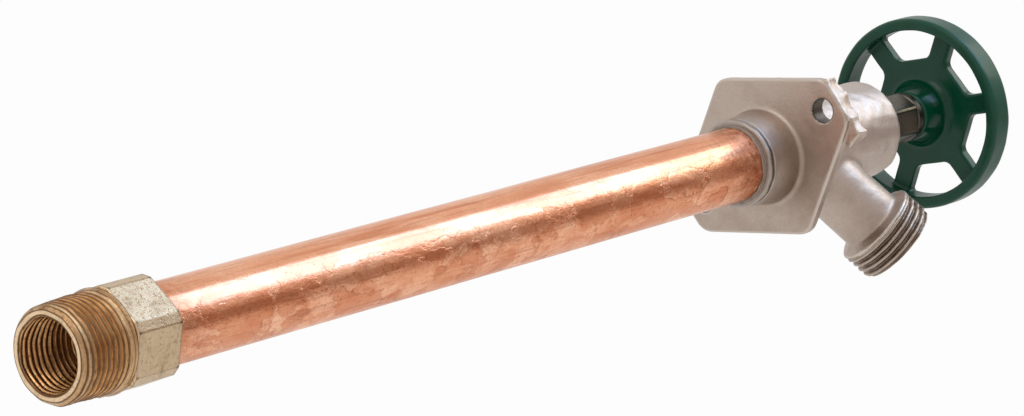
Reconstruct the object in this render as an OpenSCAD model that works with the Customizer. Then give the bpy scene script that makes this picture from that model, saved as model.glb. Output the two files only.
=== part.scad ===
// Frost free sillcock: a wall flange with a hose spout and a handwheel outside, and a long supply
// tube that carries the valve seat to the warm side of the wall.
// The part stands as it is fixed: +Z is up, +Y runs into the wall along the tube, and the origin is
// the middle of the flange's wall face.
// Each piece is drawn in a lathe frame, x to the right, y up and z out of the wall along the stem,
// and installed() turns that frame into the part's own.

/* [Supply tube] */
// From the wall face to the end of the inlet, which is the nominal length of the sillcock
wall_to_inlet = 304.8; // [150:0.1:700]
// Outside diameter of the copper tube
tube_d = 22.22; // [20:0.01:23.5]
// Wall of the copper tube
tube_wall = 1.14; // [0.8:0.01:1.4]
// How far the tube goes into the valve body, from the collar's lip
tube_socket_l = 17.5; // [15:0.1:19]
// How far the tube goes into the inlet fitting
tube_cup_l = 11; // [8:0.1:13]

/* [Flange] */
// Width of the flange over its clipped ends
flange_w = 67; // [64:0.1:80]
// Height of the flange over its blunt corners
flange_h = 55; // [50:0.1:66]
// Height of each clipped end
flange_end_h = 14.6; // [12:0.1:20]
// Thickness of the flange
flange_t = 4; // [3:0.1:6]
// Rounding of the upper and lower corners
flange_round = 5; // [1:0.1:8]
// Rounding of the four corners at the clipped ends
flange_end_round = 6; // [0.5:0.1:7]
// Spacing of the two wall screws
screw_spacing = 54.4; // [52:0.1:56]
// Screw holes
screw_hole_d = 7.2; // [5:0.1:8]
// Raised pad round each screw hole, on the room side
screw_pad_d = 11.6; // [9.5:0.1:12.4]
// Height of the raised pad
screw_pad_h = 1.6; // [0.5:0.1:3]

/* [Valve body] */
// Length of the collar behind the flange
collar_l = 14.5; // [12:0.1:17]
// Collar at the flange
collar_base_d = 28.6; // [27.5:0.1:30]
// Collar at its lip
collar_lip_d = 26.4; // [25.5:0.1:27.5]
// Rounding of the collar's lip
collar_round = 1; // [0.4:0.1:1.4]
// Barrel in front of the flange
barrel_d = 29.8; // [27:0.1:34]
// Rounding of the barrel's front edge
barrel_round = 2; // [1:0.1:3]
// Slope from the barrel's front edge to the nose
nose_slope = 22; // [10:1:35]
// Front end of the barrel's nose
nose_d = 21.6; // [20.5:0.1:24]
// Length of the nose
nose_l = 4.6; // [3:0.1:8]
// Chamfer of the nose
nose_chamfer = 0.5; // [0.2:0.1:1]
// Waterway inside the barrel
waterway_d = 19; // [16:0.1:20]
// Land between the spout's port and the stem's thread
port_land = 1.2; // [0.8:0.1:3]
// Fillets of the casting
cast_fillet = 3; // [1:0.1:4]

/* [Spout] */
// Slope of the spout below the stem
spout_angle = 59; // [50:0.5:70]
// Where the spout's axis leaves the stem's axis, from the wall face
spout_start = 15.1; // [13:0.1:20]
// Length of the spout along its own axis
spout_l = 45.1; // [40:0.1:60]
// Neck of the spout
spout_d = 20; // [18:0.1:22]
// Bore of the spout
spout_bore_d = 15.5; // [12:0.1:16]
// Hose thread outside diameter
hose_d = 27; // [26.5:0.01:27.5]
// Length of the hose thread
hose_l = 9; // [7:0.1:12]
// Plain shoulder behind the hose thread
hose_shoulder_l = 0.8; // [0.4:0.1:4]
// Flare from the neck to the shoulder
hose_flare_l = 1.6; // [1:0.1:4]
// Chamfer of the spout's mouth
hose_chamfer = 0.6; // [0.3:0.1:1.5]

/* [Inlet fitting] */
// Outside diameter of the male inlet thread
inlet_thread_d = 26.67; // [25:0.01:28]
// Length of the male inlet thread
inlet_thread_l = 16; // [12:0.1:20]
// Length of the band that widens from the thread to the hexagon
inlet_band_l = 2.3; // [1:0.1:4]
// Band where it meets the hexagon
inlet_band_d = 28; // [27.4:0.1:28.4]
// Chamfer at the inlet end
inlet_chamfer = 1.1; // [0.5:0.1:2]
// Female inlet thread, drilled size
inlet_bore_d = 18.3; // [16:0.1:20]
// Depth of the female inlet thread
inlet_bore_l = 18; // [14:0.1:19]
// Countersink at the mouth of the female thread
inlet_sink = 0.5; // [0.2:0.1:1]
// Hexagon across its flats
hex_af = 26.8; // [25.5:0.1:30]
// Length of the hexagon
hex_l = 16; // [14:0.1:20]
// Width of the blunt strip left on each corner of the hexagon
hex_blunt = 3; // [0.5:0.1:4]
// Turn of the hexagon about the tube
hex_turn = 15; // [0:1:59]
// Bore of the valve seat
seat_bore_d = 7.2; // [6.6:0.1:8]
// Width of the raised seat land
seat_land = 1.1; // [0.8:0.1:1.6]
// Height of the raised seat land
seat_h = 1.5; // [0.8:0.1:3]

/* [Packing] */
// Support washer thickness
packing_washer_t = 1.5; // [1:0.1:3]
// Thickness of each packing ring
packing_ring_t = 2; // [1.2:0.1:3]
// Packing chamber and packing nut thread
nut_thread_d = 16.4; // [15:0.1:17]
// Length of the packing nut's thread
nut_thread_l = 4.8; // [4:0.1:10]
// Packing nut across its flats
nut_af = 14.3; // [13.5:0.1:16]
// Length of the packing nut's hexagon
nut_hex_l = 16.4; // [12:0.1:20]
// Round collar at the front of the packing nut
nut_collar_d = 15.4; // [14:0.1:17]
// Length of that collar
nut_collar_l = 2.5; // [1.5:0.1:4]
// Turn of the packing nut's hexagon
nut_turn = 4; // [0:1:59]

/* [Stem] */
// Operating thread of the stem
stem_thread_d = 12.7; // [12.6:0.01:13.4]
// Length of the operating thread
stem_thread_l = 9; // [6:0.1:14]
// Travel of the stem for one turn of the handwheel
thread_lead = 3.175; // [2:0.001:4]
// Turns of the handwheel from closed to open
open_turns = 2; // [1:0.5:3]
// Smooth part of the stem
stem_d = 9.5; // [8.8:0.1:10]
// Square end of the stem, across its flats
square_w = 6.4; // [5.6:0.1:6.6]
// Length of the square end
square_l = 9.5; // [8.5:0.1:11]
// Operating rod
rod_d = 6.35; // [5.8:0.01:6.8]
// How far the rod goes into the stem
rod_socket_l = 8; // [6:0.1:10]
// Pin that joins the rod to the stem
rod_pin_d = 2; // [1.5:0.1:2.5]
// Section of the stem's sealing ring
stem_ring_d = 1.78; // [1.5:0.01:2]
// From the back of the packing nut's hexagon to that ring, with the valve closed
stem_ring_set = 5.5; // [3:0.1:8]

/* [Seat washer] */
// Washer holder on the end of the rod
holder_d = 12.4; // [11.8:0.1:12.6]
// Length of the holder behind its cup
holder_l = 15; // [12:0.1:20]
// Depth of the holder's cup
cup_l = 2; // [1:0.1:3]
// Wall of the holder's cup
cup_wall = 0.7; // [0.5:0.1:1]
// Thickness of the seat washer
washer_t = 4; // [3:0.1:5]
// Screw that holds the seat washer
washer_screw_d = 3; // [2.5:0.1:3.5]
// Head of that screw
washer_screw_head_d = 5.6; // [5:0.1:6]
// How far that screw goes into the holder
washer_screw_hold_l = 3.7; // [2.5:0.1:4.5]
// Floor between that screw and the rod
holder_floor = 1.9; // [1:0.1:3]
// Cross pin that holds the rod in the holder and lets it turn
swivel_pin_d = 1.6; // [1.2:0.1:2]

/* [Handwheel] */
// Outside diameter of the handwheel
wheel_d = 60.4; // [56:0.1:76]
// Width of the rim, measured outwards
rim_w = 3.8; // [3:0.1:6]
// Length of the rim along the stem
rim_l = 9; // [8.5:0.1:12]
// From the back of the hub to the back of the rim
rim_set = 4.5; // [3:0.1:6]
// From the back of the rim to the back of the web
web_set = 5; // [3:0.1:5.4]
// Thickness of the web and the spokes
web_t = 3.6; // [3:0.1:3.8]
// Number of spokes
spokes = 6; // [5:1:8]
// Width of each spoke
spoke_w = 6.4; // [5:0.1:8]
// From the stem's axis to the inner edge of each window
window_inner = 16.6; // [13.5:0.1:19]
// Rounding of the windows' inner corners
window_round = 1.6; // [0.5:0.1:2]
// Turn of the first spoke about the stem
spoke_turn = 24; // [0:1:59]
// Back end of the hub
hub_back_d = 15; // [14:0.1:17]
// From the back of the hub to the stem's square end
hub_seat_l = 2.3; // [1.5:0.1:4]
// Hub where it meets the web
hub_base_d = 20; // [18:0.1:24]
// Fillet between the hub and the web
hub_fillet = 2.4; // [1:0.1:4]
// Boss on the front of the hub
hub_front_d = 18; // [14:0.1:22]
// Depth of the screw's recess in the front boss
hub_recess_l = 2; // [1:0.1:3]
// Rounding of the rim's edges
rim_round = 1.2; // [0.4:0.1:1.5]

/* [Handle screw] */
// Thread of the handle screw
handle_screw_d = 4.8; // [4:0.1:5]
// Length of the handle screw under its washer
handle_screw_l = 9; // [6:0.1:10]
// Head of the handle screw
handle_screw_head_d = 9; // [8:0.1:10]
// Height of the head
handle_screw_head_h = 3; // [2:0.1:4]
// Slot across the head
handle_screw_slot_w = 1.2; // [0.8:0.1:1.6]
// Lock washer thickness
lock_washer_t = 1; // [0.8:0.1:1.5]

/* [Solder] */
// Bare metal left outside each fillet of solder
solder_margin = 1; // [0.5:0.1:1.5]

/* [Clearances] */
// Radial play of a soldered or screwed joint
joint_gap = 0.04; // [0.02:0.01:0.08]
// Radial play of a turning or sliding fit
running_gap = 0.05; // [0.03:0.01:0.1]
// Gap left at the ends of blind bores and between the nut and the hub
end_gap = 0.4; // [0.2:0.1:0.6]

/* [Hidden] */
$fn = 96;
// How far cuts and hidden joins reach past a face
bite = 1;
arc_steps = 8;
// Thickness left at the thin edges of a fillet of solder
solder_edge = 0.005;
// Share of the sealing ring's section that lies in its groove
groove_share = 0.8;
travel = thread_lead * open_turns;

// Places along the stem, out of the wall
z_inlet = -wall_to_inlet;
z_band = z_inlet + inlet_thread_l;
z_hex = z_band + inlet_band_l;
z_hex_end = z_hex + hex_l;
z_tube_in = z_hex_end - tube_cup_l;
z_tube_out = tube_socket_l - collar_l;
z_seat = z_tube_in + seat_h;
z_cup_floor = z_seat + washer_t;
z_screw_end = z_cup_floor + washer_screw_hold_l;
z_holder_end = z_cup_floor + holder_l;
rod_hold_l = holder_l - washer_screw_hold_l - end_gap - holder_floor;
z_rod_in = z_holder_end - rod_hold_l + running_gap;
z_swivel = z_holder_end - rod_hold_l / 2;
z_screw = spout_start + waterway_d / 2 / tan(spout_angle) + spout_bore_d / 2 / sin(spout_angle) + port_land;
z_head = z_screw + end_gap;
z_head_end = z_head + stem_thread_l;
z_packing = z_head_end + travel + end_gap;
z_ring_1 = z_packing + packing_washer_t;
z_ring_2 = z_ring_1 + packing_ring_t;
z_nut = z_ring_2 + packing_ring_t;
z_nose = z_nut + nut_thread_l;
z_barrel = z_nose - nose_l;
z_nut_collar = z_nose + nut_hex_l;
z_nut_front = z_nut_collar + nut_collar_l;
z_hub = z_nut_front + 2 * end_gap;
z_square = z_hub + hub_seat_l;
z_square_end = z_square + square_l;
z_lock = z_square_end + end_gap;
z_head_seat = z_lock + lock_washer_t;
z_hub_front = z_lock + hub_recess_l;
z_rim = z_hub + rim_set;
z_web = z_rim + web_set;
z_rod_out = z_head - end_gap;
z_stem_back = z_rod_out - rod_socket_l;
z_rod_pin = z_stem_back + rod_socket_l / 2;
z_stem_ring = z_nose + stem_ring_set;

// Radii that fit together
tube_r = tube_d / 2;
tube_bore_r = tube_r - tube_wall;
rim_inner_r = wheel_d / 2 - rim_w;
groove_r = stem_d / 2 - groove_share * stem_ring_d;
cup_r = holder_d / 2 - cup_wall;
swivel_groove_r = rod_d / 2 - swivel_pin_d / 2;
swivel_x = swivel_groove_r + swivel_pin_d / 2 + running_gap;
spout_neck_l = spout_l - hose_l - hose_shoulder_l - hose_flare_l;

// Points of an arc about a centre, from one angle to another
function arc(centre, r, from, to) =
  [for (i = [0 : arc_steps]) let (a = from + (to - from) * i / arc_steps) centre + r * [cos(a), sin(a)]];

function unit(v) = v / norm(v);

// Angle of the point where a line from p below a circle touches its side towards the axis
function touch_angle(p, centre, r) =
  let (d = p - centre)
  atan2(d.y, d.x) - acos(r / norm(d)) + (d.y < 0 ? 360 : 0);

// Points that round corner b of the path a, b, c
function round_corner(a, b, c, r) =
  let (
    u = unit(a - b),
    v = unit(c - b),
    half = acos(u * v) / 2,
    centre = b + unit(u + v) * r / sin(half),
    first = b + u * r / tan(half) - centre,
    turn = (180 - 2 * half) * (cross(u, v) < 0 ? 1 : -1),
    start = atan2(first.y, first.x)
  )
  arc(centre, r, start, start + turn);

// Outline with each corner rounded by its own radius
function rounded(points, radii) =
  let (n = len(points))
  [for (i = [0 : n - 1])
    each round_corner(points[(i + n - 1) % n], points[i], points[(i + 1) % n], radii[i])];

// Lathe frame to the part's frame
module installed() {
  rotate([90, 0, 0])
    children();
}

// Solid of revolution about the stem's axis, from points [radius, place]
module turned(points) {
  rotate_extrude()
    polygon(points);
}

// Straight rod along the stem's axis between two places
module rod(r, from, to) {
  translate([0, 0, from])
    cylinder(r = r, h = to - from);
}

// Ring along the stem's axis between two places
module ring(r_out, r_in, from, to) {
  difference() {
    rod(r_out, from, to);
    rod(r_in, from - bite, to + bite);
  }
}

// Hexagon across its flats, with one corner at the given turn
module hexagon(across, turn) {
  rotate(turn)
    circle(d = across / cos(30), $fn = 6);
}

// Children carried into the spout's own axis
module at_spout() {
  translate([0, 0, spout_start])
    rotate([spout_angle, 0, 0])
      children();
}

// Rhombus flange with clipped ends
module flange_outline() {
  x = flange_w / 2;
  y = flange_h / 2;
  e = flange_end_h / 2;
  polygon(rounded(
    [[0, y], [-x, e], [-x, -e], [0, -y], [x, -e], [x, e]],
    [flange_round, flange_end_round, flange_end_round, flange_round, flange_end_round, flange_end_round]
  ));
}

// Outer form of the collar, the barrel and the nose as one profile
module barrel_form() {
  lip = collar_lip_d / 2;
  base = collar_base_d / 2;
  foot = cast_fillet / 2;
  barrel = barrel_d / 2;
  nose = nose_d / 2;
  front = arc([barrel - barrel_round, z_barrel - barrel_round], barrel_round, 0, 90 - nose_slope);
  slope_end = front[arc_steps].y + (front[arc_steps].x - nose) * tan(nose_slope);
  turned(concat(
    [[0, -collar_l]],
    arc([lip - collar_round, collar_round - collar_l], collar_round, -90, 0),
    arc([base + foot, -foot], foot, 180, 90),
    arc([barrel + cast_fillet, flange_t + cast_fillet], cast_fillet, 270, 180),
    front,
    [[nose, slope_end], [nose, z_nose - nose_chamfer], [nose - nose_chamfer, z_nose], [0, z_nose]]
  ));
}

// Outer form of the spout about its own axis
module spout_form() {
  neck = spout_d / 2;
  hose = hose_d / 2;
  turned([
    [0, 0], [neck, 0], [neck, spout_neck_l], [hose, spout_neck_l + hose_flare_l],
    [hose, spout_l - hose_chamfer], [hose - hose_chamfer, spout_l], [0, spout_l]
  ]);
}

// Cast body: collar, flange, barrel and spout, with the waterway through them
module valve_body() {
  color("#b9b0a7") installed()
    difference() {
      union() {
        linear_extrude(flange_t)
          flange_outline();
        for (side = [-1, 1])
          translate([side * screw_spacing / 2, 0, 0])
            cylinder(d = screw_pad_d, h = flange_t + screw_pad_h);
        barrel_form();
        at_spout()
          spout_form();
      }
      for (side = [-1, 1])
        translate([side * screw_spacing / 2, 0, -bite])
          cylinder(d = screw_hole_d, h = flange_t + screw_pad_h + 2 * bite);
      rod(tube_r + joint_gap, -collar_l - bite, z_tube_out);
      rod(waterway_d / 2, z_tube_out - bite, z_screw);
      rod(stem_thread_d / 2 + running_gap, z_screw - bite, z_packing);
      rod(nut_thread_d / 2 + joint_gap, z_packing, z_nose + bite);
      at_spout()
        cylinder(d = spout_bore_d, h = spout_l + bite);
    }
}

// Copper tube from the inlet fitting to the valve body
module supply_tube() {
  color("#c98a66") installed()
    ring(tube_r, tube_bore_r, z_tube_in, z_tube_out);
}

// Hexagon with a blunt strip on each corner
module blunt_hexagon() {
  intersection() {
    hexagon(hex_af, hex_turn);
    hexagon(2 * (hex_af / 2 / cos(30) - hex_blunt / 2 / tan(60)), hex_turn + 30);
  }
}

// Brass inlet: male and female threads, the hexagon, the tube's cup and the raised seat
module inlet_fitting() {
  thread = inlet_thread_d / 2;
  band = inlet_band_d / 2;
  seat_bore = seat_bore_d / 2;
  inlet_bore = inlet_bore_d / 2;
  color("#b99a63") installed()
    difference() {
      union() {
        turned([
          [0, z_inlet], [thread - inlet_chamfer, z_inlet], [thread, z_inlet + inlet_chamfer],
          [thread, z_band], [band, z_hex], [thread, z_hex], [thread, z_hex + bite], [0, z_hex + bite]
        ]);
        translate([0, 0, z_hex])
          linear_extrude(hex_l)
            blunt_hexagon();
      }
      difference() {
        rod(tube_r + joint_gap, z_tube_in, z_hex_end + bite);
        rod(seat_bore + seat_land, z_tube_in - bite, z_seat);
      }
      rod(seat_bore, z_inlet + inlet_bore_l - bite, z_seat + bite);
      turned([
        [0, z_inlet - bite], [inlet_bore + inlet_sink + bite, z_inlet - bite],
        [inlet_bore, z_inlet + inlet_sink], [inlet_bore, z_inlet + inlet_bore_l], [0, z_inlet + inlet_bore_l]
      ]);
    }
}

// Fillet of solder round the tube, hollow on its outer side
module solder_fillet(seat, width, height) {
  inner = tube_r + joint_gap;
  turned(concat(
    [[inner, seat]],
    arc([inner + width, seat + height], min(width, abs(height)) - solder_edge, height > 0 ? 270 : 90, 180)
  ));
}

// Solder where the tube enters the collar
module body_solder_ring() {
  width = collar_lip_d / 2 - tube_r - solder_margin;
  color("#cfc8be") installed()
    solder_fillet(-collar_l, width, -width);
}

// Solder where the tube enters the hexagon
module inlet_solder_ring() {
  width = hex_af / 2 - tube_r - solder_margin;
  color("#cdbb95") installed()
    solder_fillet(z_hex_end, width, width);
}

// Nut that closes the packing chamber and guides the stem
module packing_nut() {
  color("#a89f96") installed()
    difference() {
      union() {
        rod(nut_thread_d / 2, z_nut, z_nose);
        translate([0, 0, z_nose])
          linear_extrude(nut_hex_l)
            hexagon(nut_af, nut_turn);
        rod(nut_collar_d / 2, z_nut_collar, z_nut_front);
      }
      rod(stem_d / 2 + running_gap, z_nut - bite, z_nut_front + bite);
    }
}

// Brass washer that the packing is pressed against
module packing_washer() {
  color("#c2a25e") installed()
    ring(nut_thread_d / 2, stem_d / 2 + running_gap, z_packing, z_ring_1);
}

// Ring of stem packing
module packing_ring(from) {
  ring(nut_thread_d / 2, stem_d / 2 + running_gap, from, from + packing_ring_t);
}

// Packing ring next to the washer
module packing_ring_inner() {
  color("#4a4a48") installed()
    packing_ring(z_ring_1);
}

// Packing ring next to the nut
module packing_ring_outer() {
  color("#565654") installed()
    packing_ring(z_ring_2);
}

// Cross pin of the swivel, lying in the rod's groove
module swivel_bar(r, l) {
  translate([swivel_x, 0, z_swivel])
    rotate([90, 0, 0])
      cylinder(r = r, h = l, center = true);
}

// Brass holder that carries the seat washer and lets the rod turn
module washer_holder() {
  color("#c2a25e") installed()
    difference() {
      rod(holder_d / 2, z_cup_floor - cup_l, z_holder_end);
      rod(cup_r, z_cup_floor - cup_l - bite, z_cup_floor);
      rod(rod_d / 2 + running_gap, z_holder_end - rod_hold_l, z_holder_end + bite);
      rod(washer_screw_d / 2 + joint_gap, z_cup_floor - bite, z_screw_end + end_gap);
      swivel_bar(swivel_pin_d / 2 + joint_gap, holder_d);
    }
}

// Rubber washer that closes on the seat
module seat_washer() {
  color("#262626") installed()
    difference() {
      rod(cup_r - joint_gap, z_seat, z_cup_floor);
      rod(washer_screw_d / 2 + joint_gap, z_seat - bite, z_cup_floor + bite);
    }
}

// Screw that holds the seat washer in its cup
module washer_screw() {
  head_h = washer_screw_d / 2;
  color("#d0b06a") installed()
    turned([
      [0, z_seat - head_h], [washer_screw_head_d / 4, z_seat - head_h],
      [washer_screw_head_d / 2, z_seat - head_h / 2], [washer_screw_head_d / 2, z_seat],
      [washer_screw_d / 2, z_seat], [washer_screw_d / 2, z_screw_end], [0, z_screw_end]
    ]);
}

// Pin across the holder that traps the rod
module swivel_pin() {
  color("#9d9d9d") installed()
    swivel_bar(swivel_pin_d / 2, 2 * sqrt(pow(holder_d / 2, 2) - pow(swivel_x + swivel_pin_d / 2, 2)));
}

// Stem: rod socket, operating thread, smooth journal and square end
module stem() {
  color("#c7a968") installed()
    difference() {
      union() {
        rod(stem_d / 2, z_stem_back, z_square);
        rod(stem_thread_d / 2, z_head, z_head_end);
        translate([0, 0, z_square])
          linear_extrude(square_l)
            square(square_w, center = true);
      }
      rod(rod_d / 2 + joint_gap, z_stem_back - bite, z_rod_out);
      cross_pin(rod_pin_d / 2 + joint_gap, stem_d + bite);
      ring(stem_d, groove_r, z_stem_ring - stem_ring_d / 2, z_stem_ring + stem_ring_d / 2);
      rod(handle_screw_d / 2 + joint_gap, z_head_seat - handle_screw_l - 2 * end_gap, z_square_end + bite);
    }
}

// Pin across the stem and the rod
module cross_pin(r, l) {
  translate([0, 0, z_rod_pin])
    rotate([0, 90, 0])
      cylinder(r = r, h = l, center = true);
}

// Long rod from the stem to the washer holder
module operating_rod() {
  color("#c98a66") installed()
    difference() {
      rod(rod_d / 2, z_rod_in, z_rod_out);
      cross_pin(rod_pin_d / 2 + joint_gap, rod_d + bite);
      ring(rod_d, swivel_groove_r, z_swivel - swivel_pin_d / 2 - running_gap,
        z_swivel + swivel_pin_d / 2 + running_gap);
    }
}

// Pin that joins the rod to the stem
module rod_pin() {
  color("#9d9d9d") installed()
    cross_pin(rod_pin_d / 2, stem_d - 2 * running_gap);
}

// Sealing ring in the stem's groove, pressed to the nut's bore
module stem_o_ring() {
  middle = (groove_r + stem_d / 2 + running_gap) / 2;
  play = running_gap / 4;
  section = (stem_d / 2 + running_gap - groove_r) / 2 - play;
  color("#2b2b2b") installed()
    rotate_extrude()
      translate([middle, z_stem_ring])
        circle(r = section);
}

// Gap between two spokes, cut a little past the inside of the rim, which then closes it
module window() {
  pitch = 180 / spokes;
  reach = rim_inner_r + rim_w / 4;
  inner_x = window_inner * tan(pitch) - spoke_w / 2 / cos(pitch);
  outer_y = wheel_d;
  outer_x = outer_y * tan(pitch) - spoke_w / 2 / cos(pitch);
  intersection() {
    circle(r = reach);
    polygon(concat(
      round_corner([outer_x, outer_y], [inner_x, window_inner], [-inner_x, window_inner], window_round),
      round_corner([inner_x, window_inner], [-inner_x, window_inner], [-outer_x, outer_y], window_round),
      [[-outer_x, outer_y], [outer_x, outer_y]]
    ));
  }
}

// Rim with rounded edges
module rim() {
  turned(rounded(
    [[wheel_d / 2, z_rim], [wheel_d / 2, z_rim + rim_l], [rim_inner_r, z_rim + rim_l], [rim_inner_r, z_rim]],
    [rim_round, rim_round, rim_round, rim_round]
  ));
}

// Web of the wheel with the windows between its spokes
module web() {
  translate([0, 0, z_web])
    linear_extrude(web_t)
      difference() {
        circle(r = rim_inner_r + rim_w / 2);
        for (i = [0 : spokes - 1])
          rotate(spoke_turn + (i + 0.5) * 360 / spokes - 90)
            window();
      }
}

// Dished hub that reaches back to the packing nut
module hub() {
  back = hub_back_d / 2;
  base = hub_base_d / 2;
  foot = [base + hub_fillet, z_web - hub_fillet];
  front = hub_front_d / 2;
  start = [back, z_hub + rim_round];
  turned(concat(
    [[0, z_hub], [back - rim_round, z_hub], start],
    arc(foot, hub_fillet, touch_angle(start, foot, hub_fillet), 90),
    [[front + rim_round, z_web + web_t - bite], [front, z_hub_front], [0, z_hub_front]]
  ));
}

// Handwheel with a square socket for the stem and a recess for its screw
module handwheel() {
  color("#14402e") installed()
    difference() {
      union() {
        rim();
        web();
        hub();
      }
      rod(stem_d / 2 + joint_gap, z_hub - bite, z_square);
      translate([0, 0, z_square - bite])
        linear_extrude(z_lock - z_square + 2 * bite)
          square(square_w + 2 * joint_gap, center = true);
      rod(handle_screw_head_d / 2 + 2 * end_gap, z_lock, z_hub_front + bite);
    }
}

// Washer under the handle screw
module lock_washer() {
  color("#b4b4b4") installed()
    ring(handle_screw_head_d / 2, handle_screw_d / 2 + joint_gap, z_lock, z_head_seat);
}

// Slotted screw that holds the wheel on the stem
module handle_screw() {
  head = handle_screw_head_d / 2;
  shank = handle_screw_d / 2;
  z_top = z_head_seat + handle_screw_head_h;
  slot_l = handle_screw_head_h / 2;
  color("#c0bdb6") installed()
    difference() {
      turned(concat(
        [[0, z_head_seat - handle_screw_l], [shank, z_head_seat - handle_screw_l], [shank, z_head_seat],
          [head, z_head_seat]],
        arc([head - slot_l, z_top - slot_l], slot_l, 0, 90),
        [[0, z_top]]
      ));
      translate([0, 0, z_top])
        cube([handle_screw_head_d + bite, handle_screw_slot_w, 2 * slot_l], center = true);
    }
}

valve_body();
supply_tube();
inlet_fitting();
body_solder_ring();
inlet_solder_ring();
packing_nut();
packing_washer();
packing_ring_inner();
packing_ring_outer();
washer_holder();
seat_washer();
washer_screw();
swivel_pin();
stem();
operating_rod();
rod_pin();
stem_o_ring();
handwheel();
lock_washer();
handle_screw();
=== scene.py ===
"""Looks of a frost free sillcock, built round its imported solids.

Lengths of the part are millimetres in a lathe frame about the stem: x to the right, y up, z out of the wall.
Those of the studio are metres. Meshes are written in metres in the part's frame, where +Y runs into the wall
and +Z is up.
"""

from __future__ import annotations

import logging
import math
from dataclasses import dataclass
from enum import Enum

import bpy
import numpy as np
import openvdb
from mathutils import Matrix, Vector

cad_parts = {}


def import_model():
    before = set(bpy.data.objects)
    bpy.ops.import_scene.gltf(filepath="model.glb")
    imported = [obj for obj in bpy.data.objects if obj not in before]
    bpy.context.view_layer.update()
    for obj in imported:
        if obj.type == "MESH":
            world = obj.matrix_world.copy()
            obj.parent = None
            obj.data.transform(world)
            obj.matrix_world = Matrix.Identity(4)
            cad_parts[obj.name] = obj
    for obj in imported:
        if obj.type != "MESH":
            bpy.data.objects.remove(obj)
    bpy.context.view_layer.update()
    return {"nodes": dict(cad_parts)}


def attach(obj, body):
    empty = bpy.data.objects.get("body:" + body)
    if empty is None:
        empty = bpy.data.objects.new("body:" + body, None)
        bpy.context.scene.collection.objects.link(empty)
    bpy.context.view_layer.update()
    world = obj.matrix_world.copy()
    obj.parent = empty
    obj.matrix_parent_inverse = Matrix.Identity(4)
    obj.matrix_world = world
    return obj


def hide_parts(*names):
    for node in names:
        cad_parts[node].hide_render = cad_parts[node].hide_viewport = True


Array = np.ndarray
Point = tuple[float, float]
Triple = tuple[float, float, float]
Colour = Triple

LOG = logging.getLogger("sillcock")
MM = 0.001
TURN = 2 * math.pi
# Bending, in 1/mm, at which the finishes' curve mark stops growing.
SHARPEST = 1.5


class Body(Enum):
    """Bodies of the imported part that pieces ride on."""

    FIXED = "fixed_body"
    TURNING = "turning_stem"


class Slot(Enum):
    """Finishes by slot of the part's record; a word after a dot tells two finishes of one slot apart."""

    CASTING = "plated_casting"
    THREAD = "plated_casting.thread"
    COPPER = "copper_tube"
    INLET = "inlet_brass"
    SOLDER = "solder"
    NUT = "plated_nut"
    BRASS = "turned_brass"
    PACKING = "packing"
    RUBBER = "black_rubber"
    STEEL = "bright_steel"
    ENAMEL = "green_enamel"

    @property
    def record(self) -> str:
        """Name of the slot in the record."""
        return self.value.split(".")[0]


class Mark(Enum):
    """Attributes that pieces carry for their finishes."""

    CURVE = "curve"
    # Share of painted shade in grooves, bores and hollows.
    GROOVE = "groove"
    ZONE = "zone"


def srgb(red: int, green: int, blue: int) -> Colour:
    """Turns a colour as it is seen on screen into a linear one.

    Args:
        red: Red share, 0 to 255.
        green: Green share, 0 to 255.
        blue: Blue share, 0 to 255.

    Returns:
        The linear colour.
    """
    seen = np.array([red, green, blue]) / 255
    linear = np.where(seen <= 0.04045, seen / 12.92, ((seen + 0.055) / 1.055) ** 2.4)
    return tuple(float(share) for share in linear)


@dataclass(frozen=True)
class Waves:
    """Slow unevenness of a surface, as a sum of sine waves in seeded directions."""

    seed: int
    length: float
    height: float = 1.0
    count: int = 7

    def at(self, x: Array, y: Array, z: Array) -> Array:
        """Adds up sines of equal length, whose directions and phases come from the seed.

        Args:
            x: First coordinates.
            y: Second coordinates.
            z: Third coordinates.

        Returns:
            Values about 0, mostly within the waves' height, in the broadcast shape of the coordinates.
        """
        rng = np.random.default_rng(self.seed)
        ways = rng.normal(size=(self.count, 3))
        ways *= TURN / self.length / np.linalg.norm(ways, axis=1, keepdims=True)
        phases = rng.uniform(0, TURN, self.count)
        total = sum(np.sin(a * x + b * y + c * z + p) for (a, b, c), p in zip(ways, phases))
        return self.height * (total / math.sqrt(self.count))


def rounded(points: list[Point], radii: list[float], steps: int = 6) -> Array:
    """Rounds the corners of a closed outline, each by an arc between the points where it touches both sides.

    Args:
        points: Corners in order.
        radii: Radius of each corner, 0 for a sharp one.
        steps: Pieces in each arc.

    Returns:
        The outline's points, one row each.
    """
    corners = np.array(points, float)
    arcs = []
    bends = zip(np.roll(corners, 1, 0), corners, np.roll(corners, -1, 0), radii)
    for before, corner, after, radius in bends:
        if radius == 0:
            arcs.append(corner[None])
            continue
        u = (before - corner) / np.linalg.norm(before - corner)
        v = (after - corner) / np.linalg.norm(after - corner)
        half = math.acos(float(u @ v)) / 2
        centre = corner + (u + v) / np.linalg.norm(u + v) * radius / math.sin(half)
        first = corner + u * radius / math.tan(half) - centre
        last = corner + v * radius / math.tan(half) - centre
        share = np.linspace(0, 1, steps + 1)[:, None]
        sweep = math.pi - 2 * half
        swing = np.sin((1 - share) * sweep) * first + np.sin(share * sweep) * last
        arcs.append(centre + swing / math.sin(sweep))
    return np.concatenate(arcs)


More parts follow.
